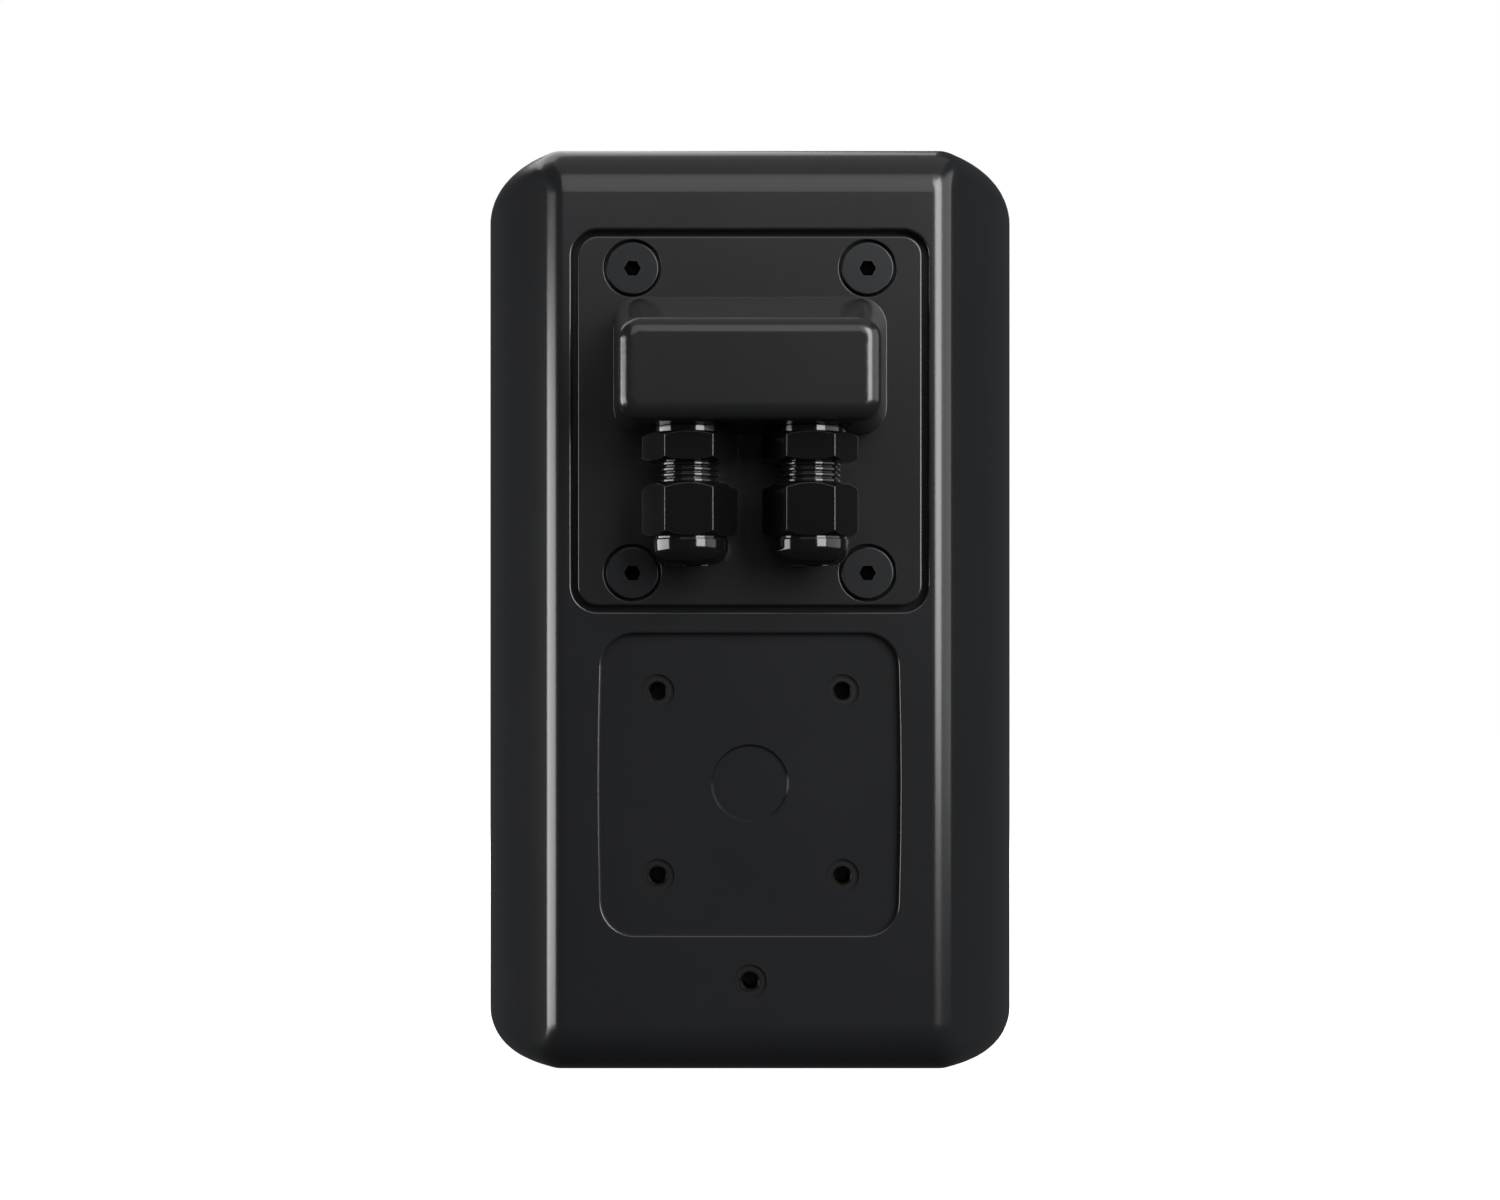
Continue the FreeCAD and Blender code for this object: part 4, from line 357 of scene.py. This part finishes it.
def new_material(name, roughness, metallic=0.0, specular=0.5, coat=0.0, sheen=0.0):
    """A material with a Principled BSDF. Gives the material, its tree and the shader."""
    material = bpy.data.materials.new(name)
    material.use_nodes = True
    shader = material.node_tree.nodes["Principled BSDF"]
    shader.inputs["Roughness"].default_value = roughness
    shader.inputs["Metallic"].default_value = metallic
    shader.inputs["Specular IOR Level"].default_value = specular
    shader.inputs["Coat Weight"].default_value = coat
    shader.inputs["Sheen Weight"].default_value = sheen
    return material, material.node_tree, shader


def place_group(tree, group, **values):
    """Put a group in a material and set its inputs. Underscores in a name stand for spaces."""
    node = tree.nodes.new("ShaderNodeGroup")
    node.node_tree = group
    for label, value in values.items():
        node.inputs[label.replace("_", " ")].default_value = value
    return node


def blend_colours(tree, factor, first, second):
    """Mix two colours. Each is an RGB triple or a socket."""
    node = tree.nodes.new("ShaderNodeMix")
    node.data_type = "RGBA"
    tree.links.new(factor, node.inputs[0])
    for index, value in ((6, first), (7, second)):
        if isinstance(value, tuple):
            node.inputs[index].default_value = (*value, 1)
        else:
            tree.links.new(value, node.inputs[index])
    return node.outputs[2]


def bump(tree, shader, height, distance, under=None):
    """Feed a height to the shader's normal, over another normal if one is given."""
    node = tree.nodes.new("ShaderNodeBump")
    node.inputs["Distance"].default_value = distance
    tree.links.new(height, node.inputs["Height"])
    if under is not None:
        tree.links.new(under, node.inputs["Normal"])
    tree.links.new(node.outputs["Normal"], shader.inputs["Normal"])


def dress(material, *names):
    """Give CAD nodes a finish."""
    for name in names:
        mesh = nodes[name].data
        mesh.materials.clear()
        mesh.materials.append(material)


# %% [markdown]
# ## Moulded plastic
# The cabinet, the cover and the front are injection mouldings. The real surface has a grain of a few
# hundredths of a millimetre, which scatters the highlight a little, and slow changes of gloss. A single
# colour and roughness would look like clay, so the grain drives a bump and the mottle moves colour and
# roughness. Sharp corners of the cover and the glands get a slightly rounded normal, as every moulded
# corner is a little round. The same function makes the other fine-grained skins: ceramic, dipped film,
# wire sleeves and powder coat.

# %% Moulded plastic
DUST_COLOUR = (0.30, 0.29, 0.27)
MOTTLE_SIZE = 26.0
RUB_RADIUS = 0.6 * MM
RUB_POLISH = -0.05


def moulded_plastic(name, dark, light, rub, roughness, spread, grain, depth, dusty=0.04, corner=0.0):
    """Dark and light are the ends of the mottle, and rub is the colour of worn edges."""
    material, tree, shader = new_material(name, roughness)
    surface = place_group(tree, mould_grain, Grain=grain, Mottle_Size=MOTTLE_SIZE)
    edges = place_group(tree, edge_rub, Radius=RUB_RADIUS)
    film = place_group(tree, dust, Amount=dusty)
    base = blend_colours(tree, surface.outputs["Mottle"], dark, light)
    rubbed = blend_colours(tree, edges.outputs["Mask"], base, rub)
    dusted = blend_colours(tree, film.outputs["Mask"], rubbed, DUST_COLOUR)
    tree.links.new(dusted, shader.inputs["Base Color"])
    rough = maths(tree, "MULTIPLY_ADD", surface.outputs["Mottle"], spread, roughness - spread / 2)
    rough = maths(tree, "MULTIPLY_ADD", edges.outputs["Mask"], RUB_POLISH, rough)
    tree.links.new(maths(tree, "ADD", rough, film.outputs["Mask"], clamp=True), shader.inputs["Roughness"])
    rounded = None
    if corner > 0:
        soft = tree.nodes.new("ShaderNodeBevel")
        soft.samples = 8
        soft.inputs["Radius"].default_value = corner
        rounded = soft.outputs["Normal"]
    bump(tree, shader, surface.outputs["Height"], depth, rounded)
    return material


cabinet_plastic = moulded_plastic("cabinet_plastic", (0.0082, 0.0086, 0.0094), (0.0108, 0.0112, 0.0120),
                                  (0.014, 0.0145, 0.015), 0.21, 0.04, 2600.0, 0.000006)
cover_plastic = moulded_plastic("cover_plastic", (0.0080, 0.0083, 0.0088), (0.0105, 0.0108, 0.0114),
                                (0.013, 0.0135, 0.014), 0.22, 0.04, 3000.0, 0.000005, 0.04, 0.0003)
gland_plastic = moulded_plastic("gland_plastic", (0.0030, 0.0030, 0.0033), (0.0042, 0.0042, 0.0046),
                                (0.012, 0.012, 0.012), 0.10, 0.03, 1500.0, 0.000002, 0.01, 0.0004)
inner_plastic = moulded_plastic("cup_plastic", (0.012, 0.012, 0.013), (0.018, 0.018, 0.019),
                                (0.03, 0.03, 0.03), 0.45, 0.08, 2200.0, 0.000015)
driver_plastic = moulded_plastic("driver_plastic", (0.008, 0.008, 0.0085), (0.012, 0.012, 0.0125),
                                 (0.025, 0.025, 0.025), 0.36, 0.08, 2200.0, 0.000010)
block_plastic = moulded_plastic("block_plastic", (0.42, 0.42, 0.39), (0.50, 0.50, 0.46),
                                (0.60, 0.60, 0.56), 0.42, 0.08, 1800.0, 0.000012)
knob_plastic = moulded_plastic("knob_plastic", (0.36, 0.030, 0.022), (0.44, 0.042, 0.030),
                               (0.55, 0.12, 0.09), 0.32, 0.08, 1800.0, 0.000008)
resistor_ceramic = moulded_plastic("resistor_ceramic", (0.60, 0.58, 0.52), (0.70, 0.68, 0.62),
                                   (0.75, 0.73, 0.68), 0.75, 0.10, 900.0, 0.000060)
capacitor_film = moulded_plastic("capacitor_film", (0.20, 0.028, 0.015), (0.26, 0.040, 0.020),
                                 (0.34, 0.08, 0.05), 0.24, 0.06, 1200.0, 0.000010)
lead_sleeve = moulded_plastic("lead_sleeve", (0.30, 0.018, 0.014), (0.38, 0.026, 0.020),
                              (0.45, 0.06, 0.05), 0.40, 0.06, 1600.0, 0.000012)

dress(cabinet_plastic, "rear_cabinet", "front_baffle")
dress(cover_plastic, "terminal_cover")
dress(inner_plastic, "terminal_cup", "tap_switch")
dress(driver_plastic, "tweeter_faceplate", "left_port_tube", "right_port_tube")
dress(block_plastic, "terminal_block")
dress(knob_plastic, "tap_knob")
dress(resistor_ceramic, "crossover_resistor")
dress(capacitor_film, "crossover_capacitors")
dress(lead_sleeve, "supply_leads", "woofer_leads", "tweeter_leads")
SIDES = ("left", "right")
for side in SIDES:
    dress(gland_plastic, *[f"{side}_gland_{part}" for part in ("washer", "body", "lock_nut", "claw", "nut")])

# %% [markdown]
# ## Rubber and foam
# Gaskets and the woofer's surround are soft and dull. Rubber is smoother than foam, which shows cut cells.
# One function makes both: the cell size and the depth of the bump tell them apart.

# %% Rubber


def rubber(name, dark, light, roughness, cell, depth):
    """A dull elastomer whose cells are Voronoi pits over a slow bloom."""
    material, tree, shader = new_material(name, roughness, specular=0.35)
    where = place_in_space(tree)
    cells = tree.nodes.new("ShaderNodeTexVoronoi")
    cells.inputs["Scale"].default_value = cell
    tree.links.new(where, cells.inputs["Vector"])
    bloom = noise(tree, where, 60.0, 5.0, 0.6)
    tree.links.new(blend_colours(tree, bloom, dark, light), shader.inputs["Base Color"])
    tree.links.new(maths(tree, "MULTIPLY_ADD", bloom, 0.16, roughness - 0.08), shader.inputs["Roughness"])
    bump(tree, shader, maths(tree, "POWER", cells.outputs["Distance"], 2.0), depth)
    return material


seal_rubber = rubber("seal_rubber", (0.010, 0.010, 0.010), (0.016, 0.016, 0.016), 0.66, 1900.0, 0.00006)
surround_rubber = rubber("surround_rubber", (0.011, 0.011, 0.012), (0.018, 0.018, 0.018), 0.52, 2600.0,
                         0.00002)
dress(seal_rubber, "baffle_gasket", "cover_gasket", "woofer_gasket",
      *[f"{side}_gland_seal" for side in SIDES])
dress(surround_rubber, "woofer_surround")

# %% [markdown]
# ## Metals
# Screws, inserts, magnet plates and the basket are steel or brass under different coatings. A coating
# shows as colour and roughness, and the way the piece was made shows as fine lines or specks. The function
# takes the stretch of its noise: equal for a cast or blasted surface, long on one axis for drawn or turned
# work.

# %% Metals
# Painted shade in hollows: the near-black colour, the depth over which it fades in, and the added roughness.
PAINTED_HOLLOW_SHADE = (0.002, 0.002, 0.002)
HOLLOW_SHADE_FALL = 0.6 * MM
HOLLOW_DULLNESS = 0.4


def coated_metal(name, dark, light, roughness, spread, stretch, depth_of_marks, rub=None, hollow=None):
    """Metal with fine marks from its making, and brighter metal where an edge has rubbed through.

    Below the level of a hollow, such as a socket, the colour is darkened as painted shade, and the roughness
    is raised."""
    material, tree, shader = new_material(name, roughness, metallic=1.0)
    marks = noise(tree, place_in_space(tree, stretch), 1.0, 4.0, 0.6)
    slow = noise(tree, place_in_space(tree), 45.0, 3.0, 0.5)
    colour = blend_colours(tree, slow, dark, light)
    if rub is not None:
        edges = place_group(tree, edge_rub, Radius=0.0004, Breakup=700.0)
        colour = blend_colours(tree, edges.outputs["Mask"], colour, rub)
    rough = maths(tree, "MULTIPLY_ADD", marks, spread, roughness - spread / 2)
    if hollow is not None:
        # Painted shade: below the hollow's level the colour fades to near black and the surface gets
        # rougher.
        under = place_group(tree, depth, Level=hollow, Fall=HOLLOW_SHADE_FALL).outputs["Mask"]
        colour = blend_colours(tree, under, colour, PAINTED_HOLLOW_SHADE)
        rough = maths(tree, "MULTIPLY_ADD", under, HOLLOW_DULLNESS, rough)
    tree.links.new(colour, shader.inputs["Base Color"])
    tree.links.new(rough, shader.inputs["Roughness"])
    bump(tree, shader, marks, depth_of_marks)
    return material


BLASTED = (2400.0, 2400.0, 2400.0)
TURNED = (700.0, 4200.0, 700.0)
# The screws' hex sockets get painted shade from 0.5 mm below the outer face of the heads.
screw_black = coated_metal("screw_black", (0.029, 0.030, 0.032), (0.038, 0.039, 0.041), 0.34, 0.10,
                           BLASTED, 0.000004, (0.09, 0.09, 0.09),
                           hollow=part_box("cover_screws")[1].y - 0.5 * MM)
black_steel = coated_metal("black_steel", (0.040, 0.040, 0.043), (0.055, 0.055, 0.058), 0.40, 0.12,
                           BLASTED, 0.000005, (0.16, 0.16, 0.16))
# The inserts' bores get painted shade from 0.6 mm below the inserts' outer face.
insert_metal = coated_metal("insert_metal", (0.020, 0.019, 0.018), (0.030, 0.028, 0.026), 0.38, 0.12,
                            TURNED, 0.000005, (0.10, 0.09, 0.07),
                            hollow=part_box("bracket_inserts")[1].y - 0.6 * MM)
plated_steel = coated_metal("plated_steel", (0.44, 0.45, 0.47), (0.56, 0.56, 0.57), 0.30, 0.14, TURNED,
                            0.000006)
basket_steel = coated_metal("basket_steel", (0.030, 0.030, 0.032), (0.045, 0.045, 0.047), 0.46, 0.14,
                            BLASTED, 0.000020, (0.20, 0.20, 0.20))
ferrite = coated_metal("ferrite", (0.050, 0.051, 0.055), (0.080, 0.081, 0.085), 0.62, 0.16, BLASTED,
                       0.000020)
dress(screw_black, "cover_screws")
dress(black_steel, "baffle_screws", "woofer_screws", "tweeter_screws", "cup_screws")
dress(insert_metal, "bracket_inserts", "safety_insert", "cover_inserts")
dress(plated_steel, "woofer_top_plate", "woofer_pole_plate", "tweeter_front_plate", "board_screws",
      "terminal_screws")
dress(basket_steel, "woofer_basket")
dress(ferrite, "woofer_magnet", "tweeter_magnet")

# %% [markdown]
# ## Wound and stacked parts
# A coil is many turns of lacquered wire, the transformer's core is a stack of thin sheets, and its winding
# is wrapped in tape. Modelling each turn would cost far more than it shows inside a closed cabinet, so one
# group of layers gives a round for each turn and a different tone for each layer.

# %% Wire, sheets and tape


def layered(name, dark, light, roughness, metallic, way, pitch, depth, coat=0.0):
    """Layers along one axis: each has its own tone and a rounded dip beside it, where the colour darkens as
    painted shade.
    """
    material, tree, shader = new_material(name, roughness, metallic=metallic, coat=coat)
    stack = place_group(tree, layers, Along_X=way[0], Along_Y=way[1], Along_Z=way[2], Pitch=pitch)
    stain = noise(tree, place_in_space(tree), 300.0, 4.0, 0.6)
    tone = maths(tree, "MULTIPLY_ADD", stack.outputs["Layer"], 0.5, maths(tree, "MULTIPLY", stain, 0.5))
    # Painted shade: the colour goes dark in the dip between turns and sheets.
    groove_shade = maths(tree, "POWER", stack.outputs["Height"], 0.4)
    tree.links.new(blend_colours(tree, maths(tree, "MULTIPLY", tone, groove_shade), dark, light),
                   shader.inputs["Base Color"])
    tree.links.new(maths(tree, "MULTIPLY_ADD", stain, 0.12, roughness - 0.06), shader.inputs["Roughness"])
    bump(tree, shader, stack.outputs["Height"], depth)
    return material


copper = layered("copper", (0.32, 0.09, 0.035), (0.78, 0.30, 0.14), 0.28, 1.0, (0, 1, 0), 0.0005, 0.00018)
core_steel = layered("core_steel", (0.10, 0.10, 0.11), (0.26, 0.26, 0.27), 0.42, 1.0, (0, 1, 0), 0.0005,
                     0.00006)
winding_tape = layered("winding_tape", (0.42, 0.25, 0.04), (0.62, 0.40, 0.08), 0.26, 0.0, (0, 0, 1), 0.006,
                       0.00010, 0.3)
dress(copper, "woofer_voice_coil", "crossover_inductor")
dress(core_steel, "transformer_core")
dress(winding_tape, "transformer_winding")

# %% [markdown]
# ## Cloth, paper and board
# The spider is cloth stiffened with resin, the tweeter's dome is coated silk, the circuit board is glass
# cloth in green resin, and the cone is pressed paper fibre. The first three share the weave. Paper has no
# weave, so its fibres come from a noise that is stretched different ways and laid over itself.

# %% Woven finishes


def woven(name, warp, weft, roughness, threads, depth, sheen=0.0, coat=0.0):
    """Two sets of threads that differ a little in tone."""
    material, tree, shader = new_material(name, roughness, specular=0.4, coat=coat, sheen=sheen)
    cloth = place_group(tree, weave, Threads=threads)
    slub = noise(tree, place_in_space(tree), threads * 0.35, 4.0, 0.65)
    crossed = blend_colours(tree, cloth.outputs["Over"], warp, weft)
    shadow = maths(tree, "MULTIPLY_ADD", cloth.outputs["Height"], 0.55, maths(tree, "MULTIPLY", slub, 0.45))
    dark = tuple(part * 0.35 for part in warp)
    tree.links.new(blend_colours(tree, shadow, dark, crossed), shader.inputs["Base Color"])
    tree.links.new(maths(tree, "MULTIPLY_ADD", slub, 0.15, roughness - 0.07), shader.inputs["Roughness"])
    bump(tree, shader, cloth.outputs["Height"], depth)
    return material


grille_weave = woven("grille_cloth", (0.014, 0.014, 0.015), (0.024, 0.024, 0.025), 0.82, 1600.0, 0.00022,
                     0.15)
spider_cloth = woven("spider_cloth", (0.40, 0.22, 0.07), (0.52, 0.31, 0.12), 0.66, 1300.0, 0.00018)
dome_cloth = woven("dome_cloth", (0.012, 0.012, 0.012), (0.020, 0.020, 0.021), 0.44, 3000.0, 0.00005, 0.1)
board_laminate = woven("board_laminate", (0.016, 0.11, 0.045), (0.020, 0.135, 0.055), 0.34, 1100.0, 0.00002,
                       0.0, 0.4)
dress(spider_cloth, "woofer_spider")
dress(dome_cloth, "tweeter_dome")
dress(board_laminate, "crossover_board", "woofer_terminals")

# %% Pressed paper


def fibres(name, dark, light, roughness, depth, sheen=0.0):
    """Fibres as the larger of three stretched noises."""
    material, tree, shader = new_material(name, roughness, specular=0.3, sheen=sheen)
    strands = noise(tree, place_in_space(tree, (5200.0, 900.0, 900.0)), 1.0, 3.0, 0.6)
    for stretch in ((900.0, 900.0, 5200.0), (2600.0, 900.0, -2600.0)):
        strands = maths(tree, "MAXIMUM", strands, noise(tree, place_in_space(tree, stretch), 1.0, 3.0, 0.6))
    spread = maths(tree, "MULTIPLY_ADD", strands, 2.5, -1.1, clamp=True)
    tree.links.new(blend_colours(tree, spread, dark, light), shader.inputs["Base Color"])
    tree.links.new(maths(tree, "MULTIPLY_ADD", spread, 0.1, roughness - 0.05), shader.inputs["Roughness"])
    bump(tree, shader, strands, depth)
    return material


cone_paper = fibres("cone_paper", (0.014, 0.014, 0.015), (0.034, 0.034, 0.036), 0.74, 0.00008)
wadding_fibre = fibres("wadding", (0.34, 0.34, 0.33), (0.62, 0.62, 0.60), 0.95, 0.0006, 0.5)
dress(cone_paper, "woofer_cone", "woofer_dust_cap")

# %% [markdown]
# ## The perforated grille
# The front is covered by a thin steel sheet, punched with close hexagonal holes and folded back all round.
# Cutting thousands of holes with a boolean is slow and leaves bad faces. A honeycomb needs no cutting:
# each hole and the metal round it is a six-sided ring, and the rings fit edge to edge. The plain border
# and the folded skirt are a profile carried round the rounded outline.

# %% Outline of the grille
grille_low, grille_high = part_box("grille")
SHEET = 1.0 * MM
FOLD = 2.5 * MM
CORNER = 8.2 * MM
HOLE = 1.15 * MM
CELL = 1.60 * MM
BORDER = 6.0 * MM
front_y = grille_low.y
skirt_y = grille_high.y
mid_z = (grille_low.z + grille_high.z) / 2
half_w = (grille_high.x - grille_low.x) / 2
half_h = (grille_high.z - grille_low.z) / 2


def rounded_outline(half_width, half_height, radius, steps=10):
    """Points and outward directions round a rectangle with quarter-circle corners.

    Each corner's centre plus the radius times (cos t, sin t), t running a quarter turn."""
    t = np.linspace(0, np.pi / 2, steps + 1)
    turns = (t[None, :] + np.arange(4)[:, None] * np.pi / 2).ravel()
    out = np.stack([np.cos(turns), np.sin(turns)], 1)
    signs = np.array([(1, 1), (-1, 1), (-1, -1), (1, -1)], float)
    centre = np.repeat(signs * (half_width - radius, half_height - radius), steps + 1, axis=0)
    return centre + out * radius, out


rim, rim_out = rounded_outline(half_w - FOLD, half_h - FOLD, CORNER - FOLD)
print("grille outline:", len(rim), "points,", round(2000 * half_w, 1), "x", round(2000 * half_h, 1), "mm")


# %% Honeycomb of holes
def honeycomb(half_width, half_height, cell):
    """Centres of hexagons with two corners up and down.

    Rows are 1.5 corner lengths apart, and every second row is half a cell out."""
    long = cell / math.cos(math.radians(30))
    row = np.arange(-int(half_height / (1.5 * long)), int(half_height / (1.5 * long)) + 1)
    col = np.arange(-int(half_width / (2 * cell)) - 1, int(half_width / (2 * cell)) + 2)
    rows, cols = np.meshgrid(row, col, indexing="ij")
    x = (cols + 0.5 * (rows % 2)) * 2 * cell
    z = rows * 1.5 * long
    inside = (np.abs(x) + cell <= half_width) & (np.abs(z) + long <= half_height)
    return np.stack([x[inside], z[inside]], 1)


centres = honeycomb(half_w - BORDER, half_h - BORDER, CELL)
turn = np.radians(60 * np.arange(6) + 30)
spoke = np.stack([np.cos(turn), np.sin(turn)], 1) / math.cos(math.radians(30))
print("holes:", len(centres))


# %% Flat face, border and holes
SAME_POINT = 1e-7
MEETING_POINTS = 2e-6
CDT_MARGIN = 1e-9


def merged(points):
    """Unique points, and for each given point the number of the unique one it became."""
    key = np.round(points / SAME_POINT).astype(np.int64)
    _, first, number = np.unique(key, axis=0, return_index=True, return_inverse=True)
    return points[first], number.ravel()


cell_points, cell_number = merged((centres[:, None, :] + spoke * CELL).reshape(-1, 2))
cell_ring = cell_number.reshape(-1, 6)
hole_points = (centres[:, None, :] + spoke * HOLE).reshape(-1, 2)
hole_ring = np.arange(len(hole_points)).reshape(-1, 6) + len(cell_points)

sides = np.stack([cell_ring, np.roll(cell_ring, -1, axis=1)], 2).reshape(-1, 2)
side_key, side_count = np.unique(np.sort(sides, axis=1), axis=0, return_counts=True)
zigzag = side_key[side_count == 1]
used, zigzag_number = np.unique(zigzag, return_inverse=True)
zigzag_number = zigzag_number.reshape(-1, 2)
outline_edges = np.stack([np.arange(len(rim)), np.roll(np.arange(len(rim)), -1)], 1)
border_points = np.concatenate([rim, cell_points[used]])
border_edges = np.concatenate([outline_edges, zigzag_number + len(rim)])
filled = delaunay_2d_cdt([Vector(p) for p in border_points], border_edges.tolist(), [], 0, CDT_MARGIN)
plane = np.array([tuple(p) for p in filled[0]])
triangles = np.array(filled[2])
middles = plane[triangles].mean(axis=1)
apart = np.abs(middles[:, None, :] - centres[None, :, :])
slanted = apart[..., 1] + apart[..., 0] * math.tan(math.radians(30))
in_cell = (apart[..., 0] < CELL) & (slanted < CELL / math.cos(math.radians(30)))
border_triangles = triangles[~in_cell.any(axis=1)]
print("border triangles:", len(border_triangles), "of", len(triangles))

# %% Folded skirt


def fold_profile(outer):
    """(outwards, back) pairs from the flat face round the fold to the skirt's end.

    A quarter circle of the fold's radius, less the sheet's thickness on the inner side."""
    t = np.linspace(0, np.pi / 2, 9)
    radius = FOLD if outer else FOLD - SHEET
    start = 0.0 if outer else SHEET
    across = radius * np.sin(t)
    back = start + radius * (1 - np.cos(t))
    return np.concatenate([np.stack([across, back], 1), [[radius, skirt_y - front_y]]])


outer_fold = fold_profile(True)
inner_fold = fold_profile(False)
profile = np.concatenate([outer_fold, inner_fold[::-1]])
ring_xz = rim[:, None, :] + rim_out[:, None, :] * profile[None, :, :1]
skirt = np.stack([ring_xz[..., 0], front_y + np.broadcast_to(profile[:, 1], ring_xz.shape[:2]),
                  ring_xz[..., 1] + mid_z], -1)
print("skirt grid:", skirt.shape)


# %% Join the grille
def mesh_from(name, points, faces, material, smooth=True):
    """Points and faces as arrays or lists. Adds the piece, and makes it ride the cabinet."""
    mesh = bpy.data.meshes.new(name)
    mesh.from_pydata(points.tolist(), [], [tuple(f) for f in faces])
    mesh.materials.append(material)
    mesh.polygons.foreach_set("use_smooth", np.full(len(mesh.polygons), smooth))
    mesh.update()
    piece = bpy.data.objects.new(name, mesh)
    bpy.context.scene.collection.objects.link(piece)
    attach(piece, "cabinet")
    return piece


flat_xz = np.concatenate([cell_points, hole_points])
count = len(flat_xz)


def lifted(xz, y):
    """Flat (across, up) points placed at a depth, with up measured from the grille's middle."""
    return np.stack([xz[:, 0], np.full(len(xz), y), xz[:, 1] + mid_z], 1)


nxt_cell = np.roll(cell_ring, -1, axis=1)
nxt_hole = np.roll(hole_ring, -1, axis=1)
web = np.stack([cell_ring, nxt_cell, nxt_hole, hole_ring], -1).reshape(-1, 4)
wall = np.stack([hole_ring, nxt_hole, nxt_hole + count, hole_ring + count], -1).reshape(-1, 4)
border_at = 2 * count
border_count = len(plane)
skirt_at = border_at + 2 * border_count
rows, cols = skirt.shape[:2]
grid = np.arange(rows * cols).reshape(rows, cols) + skirt_at
along = np.roll(grid, -1, axis=0)
skirt_faces = np.stack([grid[:, :-1], grid[:, 1:], along[:, 1:], along[:, :-1]], -1).reshape(-1, 4)
grille_points = np.concatenate([
    lifted(flat_xz, front_y), lifted(flat_xz, front_y + SHEET), lifted(plane, front_y),
    lifted(plane, front_y + SHEET), skirt.reshape(-1, 3)])
grille_faces = (web.tolist() + (web[:, ::-1] + count).tolist() + wall.tolist()
                + (border_triangles + border_at).tolist()
                + (border_triangles[:, ::-1] + border_at + border_count).tolist() + skirt_faces.tolist())
powder = moulded_plastic("grille_steel", (0.030, 0.030, 0.031), (0.040, 0.040, 0.041),
                         (0.065, 0.065, 0.065), 0.40, 0.08, 3200.0, 0.000015)
grille = mesh_from("grille_sheet", grille_points, grille_faces, powder, smooth=False)


def close_and_turn_out(piece):
    """Merge the points that meet, and point every face outwards. Gives the number of open edges."""
    shape = bmesh.new()
    shape.from_mesh(piece.data)
    bmesh.ops.remove_doubles(shape, verts=shape.verts, dist=MEETING_POINTS)
    bmesh.ops.recalc_face_normals(shape, faces=shape.faces)
    loose = sum(edge.is_boundary for edge in shape.edges)
    shape.to_mesh(piece.data)
    shape.free()
    return loose


open_edges = close_and_turn_out(grille)
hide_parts("grille")
print("grille faces:", len(grille.data.polygons), "open edges:", open_edges)

# %% [markdown]
# ## Cloth behind the grille
# Acoustic cloth is stretched flat behind the sheet and glued at its edge. It is a single layer on a grid,
# with a shallow dish between its glued edges, because stretched cloth still gives a little. The weave is
# in the material, since a thread is a tenth of a millimetre.

# %% Grille cloth
cloth_low, cloth_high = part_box("grille_cloth")
GIVE = 0.35 * MM
CLOTH_GAP = 0.1 * MM
u = np.linspace(0, 1, 25)
v = np.linspace(0, 1, 41)
uu, vv = np.meshgrid(u, v, indexing="ij")
dish = GIVE * (np.sin(np.pi * uu) * np.sin(np.pi * vv)) ** 0.5
cloth_grid = np.stack([cloth_low.x + (cloth_high.x - cloth_low.x) * uu, cloth_low.y + CLOTH_GAP + dish,
                       cloth_low.z + (cloth_high.z - cloth_low.z) * vv], -1)
index = np.arange(uu.size).reshape(uu.shape)
cloth_faces = np.stack([index[:-1, :-1], index[1:, :-1], index[1:, 1:], index[:-1, 1:]], -1).reshape(-1, 4)
cloth = mesh_from("grille_lining", cloth_grid.reshape(-1, 3), cloth_faces, grille_weave)
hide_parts("grille_cloth")

# %% [markdown]
# ## Padding under the top
# A pad of polyester fibre damps the air inside. It is a soft block that swells between its edges, so its
# form is a superellipsoid: a ball whose sines and cosines are raised to a small power, which squares it up
# and keeps its sides crowned. Low waves make it uneven, as fibre is.

# %% Wadding
pad_low, pad_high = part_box("damping_wadding")
pad_middle = np.array((pad_low + pad_high) / 2)
pad_half = np.array((pad_high - pad_low) / 2)
RINGS = 48
STEPS = 96
POWER = 0.32
WAVE_DEPTH = 0.035


def squared(wave):
    """A sine or cosine raised to a small power, with its sign kept."""
    return np.sign(wave) * np.abs(wave) ** POWER


lat = np.linspace(-np.pi / 2, np.pi / 2, RINGS + 1)[1:-1]
lon = np.linspace(0, 2 * np.pi, STEPS, endpoint=False)
la, lo = np.meshgrid(lat, lon, indexing="ij")
unit = np.stack([squared(np.cos(la)) * squared(np.cos(lo)), squared(np.cos(la)) * squared(np.sin(lo)),
                 squared(np.sin(la))], -1)
body_points = np.concatenate([unit.reshape(-1, 3), [[0, 0, -1], [0, 0, 1]]])
ripple = np.sin(body_points[:, 0] * 9 + 1.3) * np.sin(body_points[:, 1] * 7 + 0.4)
waves = 1 - WAVE_DEPTH * (1 + ripple)
pad_points = pad_middle + body_points * pad_half * np.stack([waves, waves, waves ** 2], 1)
ring = np.arange((RINGS - 1) * STEPS).reshape(RINGS - 1, STEPS)
nxt = np.roll(ring, -1, axis=1)
pad_quads = np.stack([ring[:-1], nxt[:-1], nxt[1:], ring[1:]], -1).reshape(-1, 4).tolist()
bottom_pole = ring.size
pad_fans = np.stack([nxt[0], ring[0], np.full(STEPS, bottom_pole)], -1).tolist()
pad_fans += np.stack([ring[-1], nxt[-1], np.full(STEPS, bottom_pole + 1)], -1).tolist()
pad = mesh_from("top_wadding", pad_points, pad_quads + pad_fans, wadding_fibre)
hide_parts("damping_wadding")
pad_open_edges = close_and_turn_out(pad)
print("wadding faces:", len(pad.data.polygons), "open edges:", pad_open_edges)
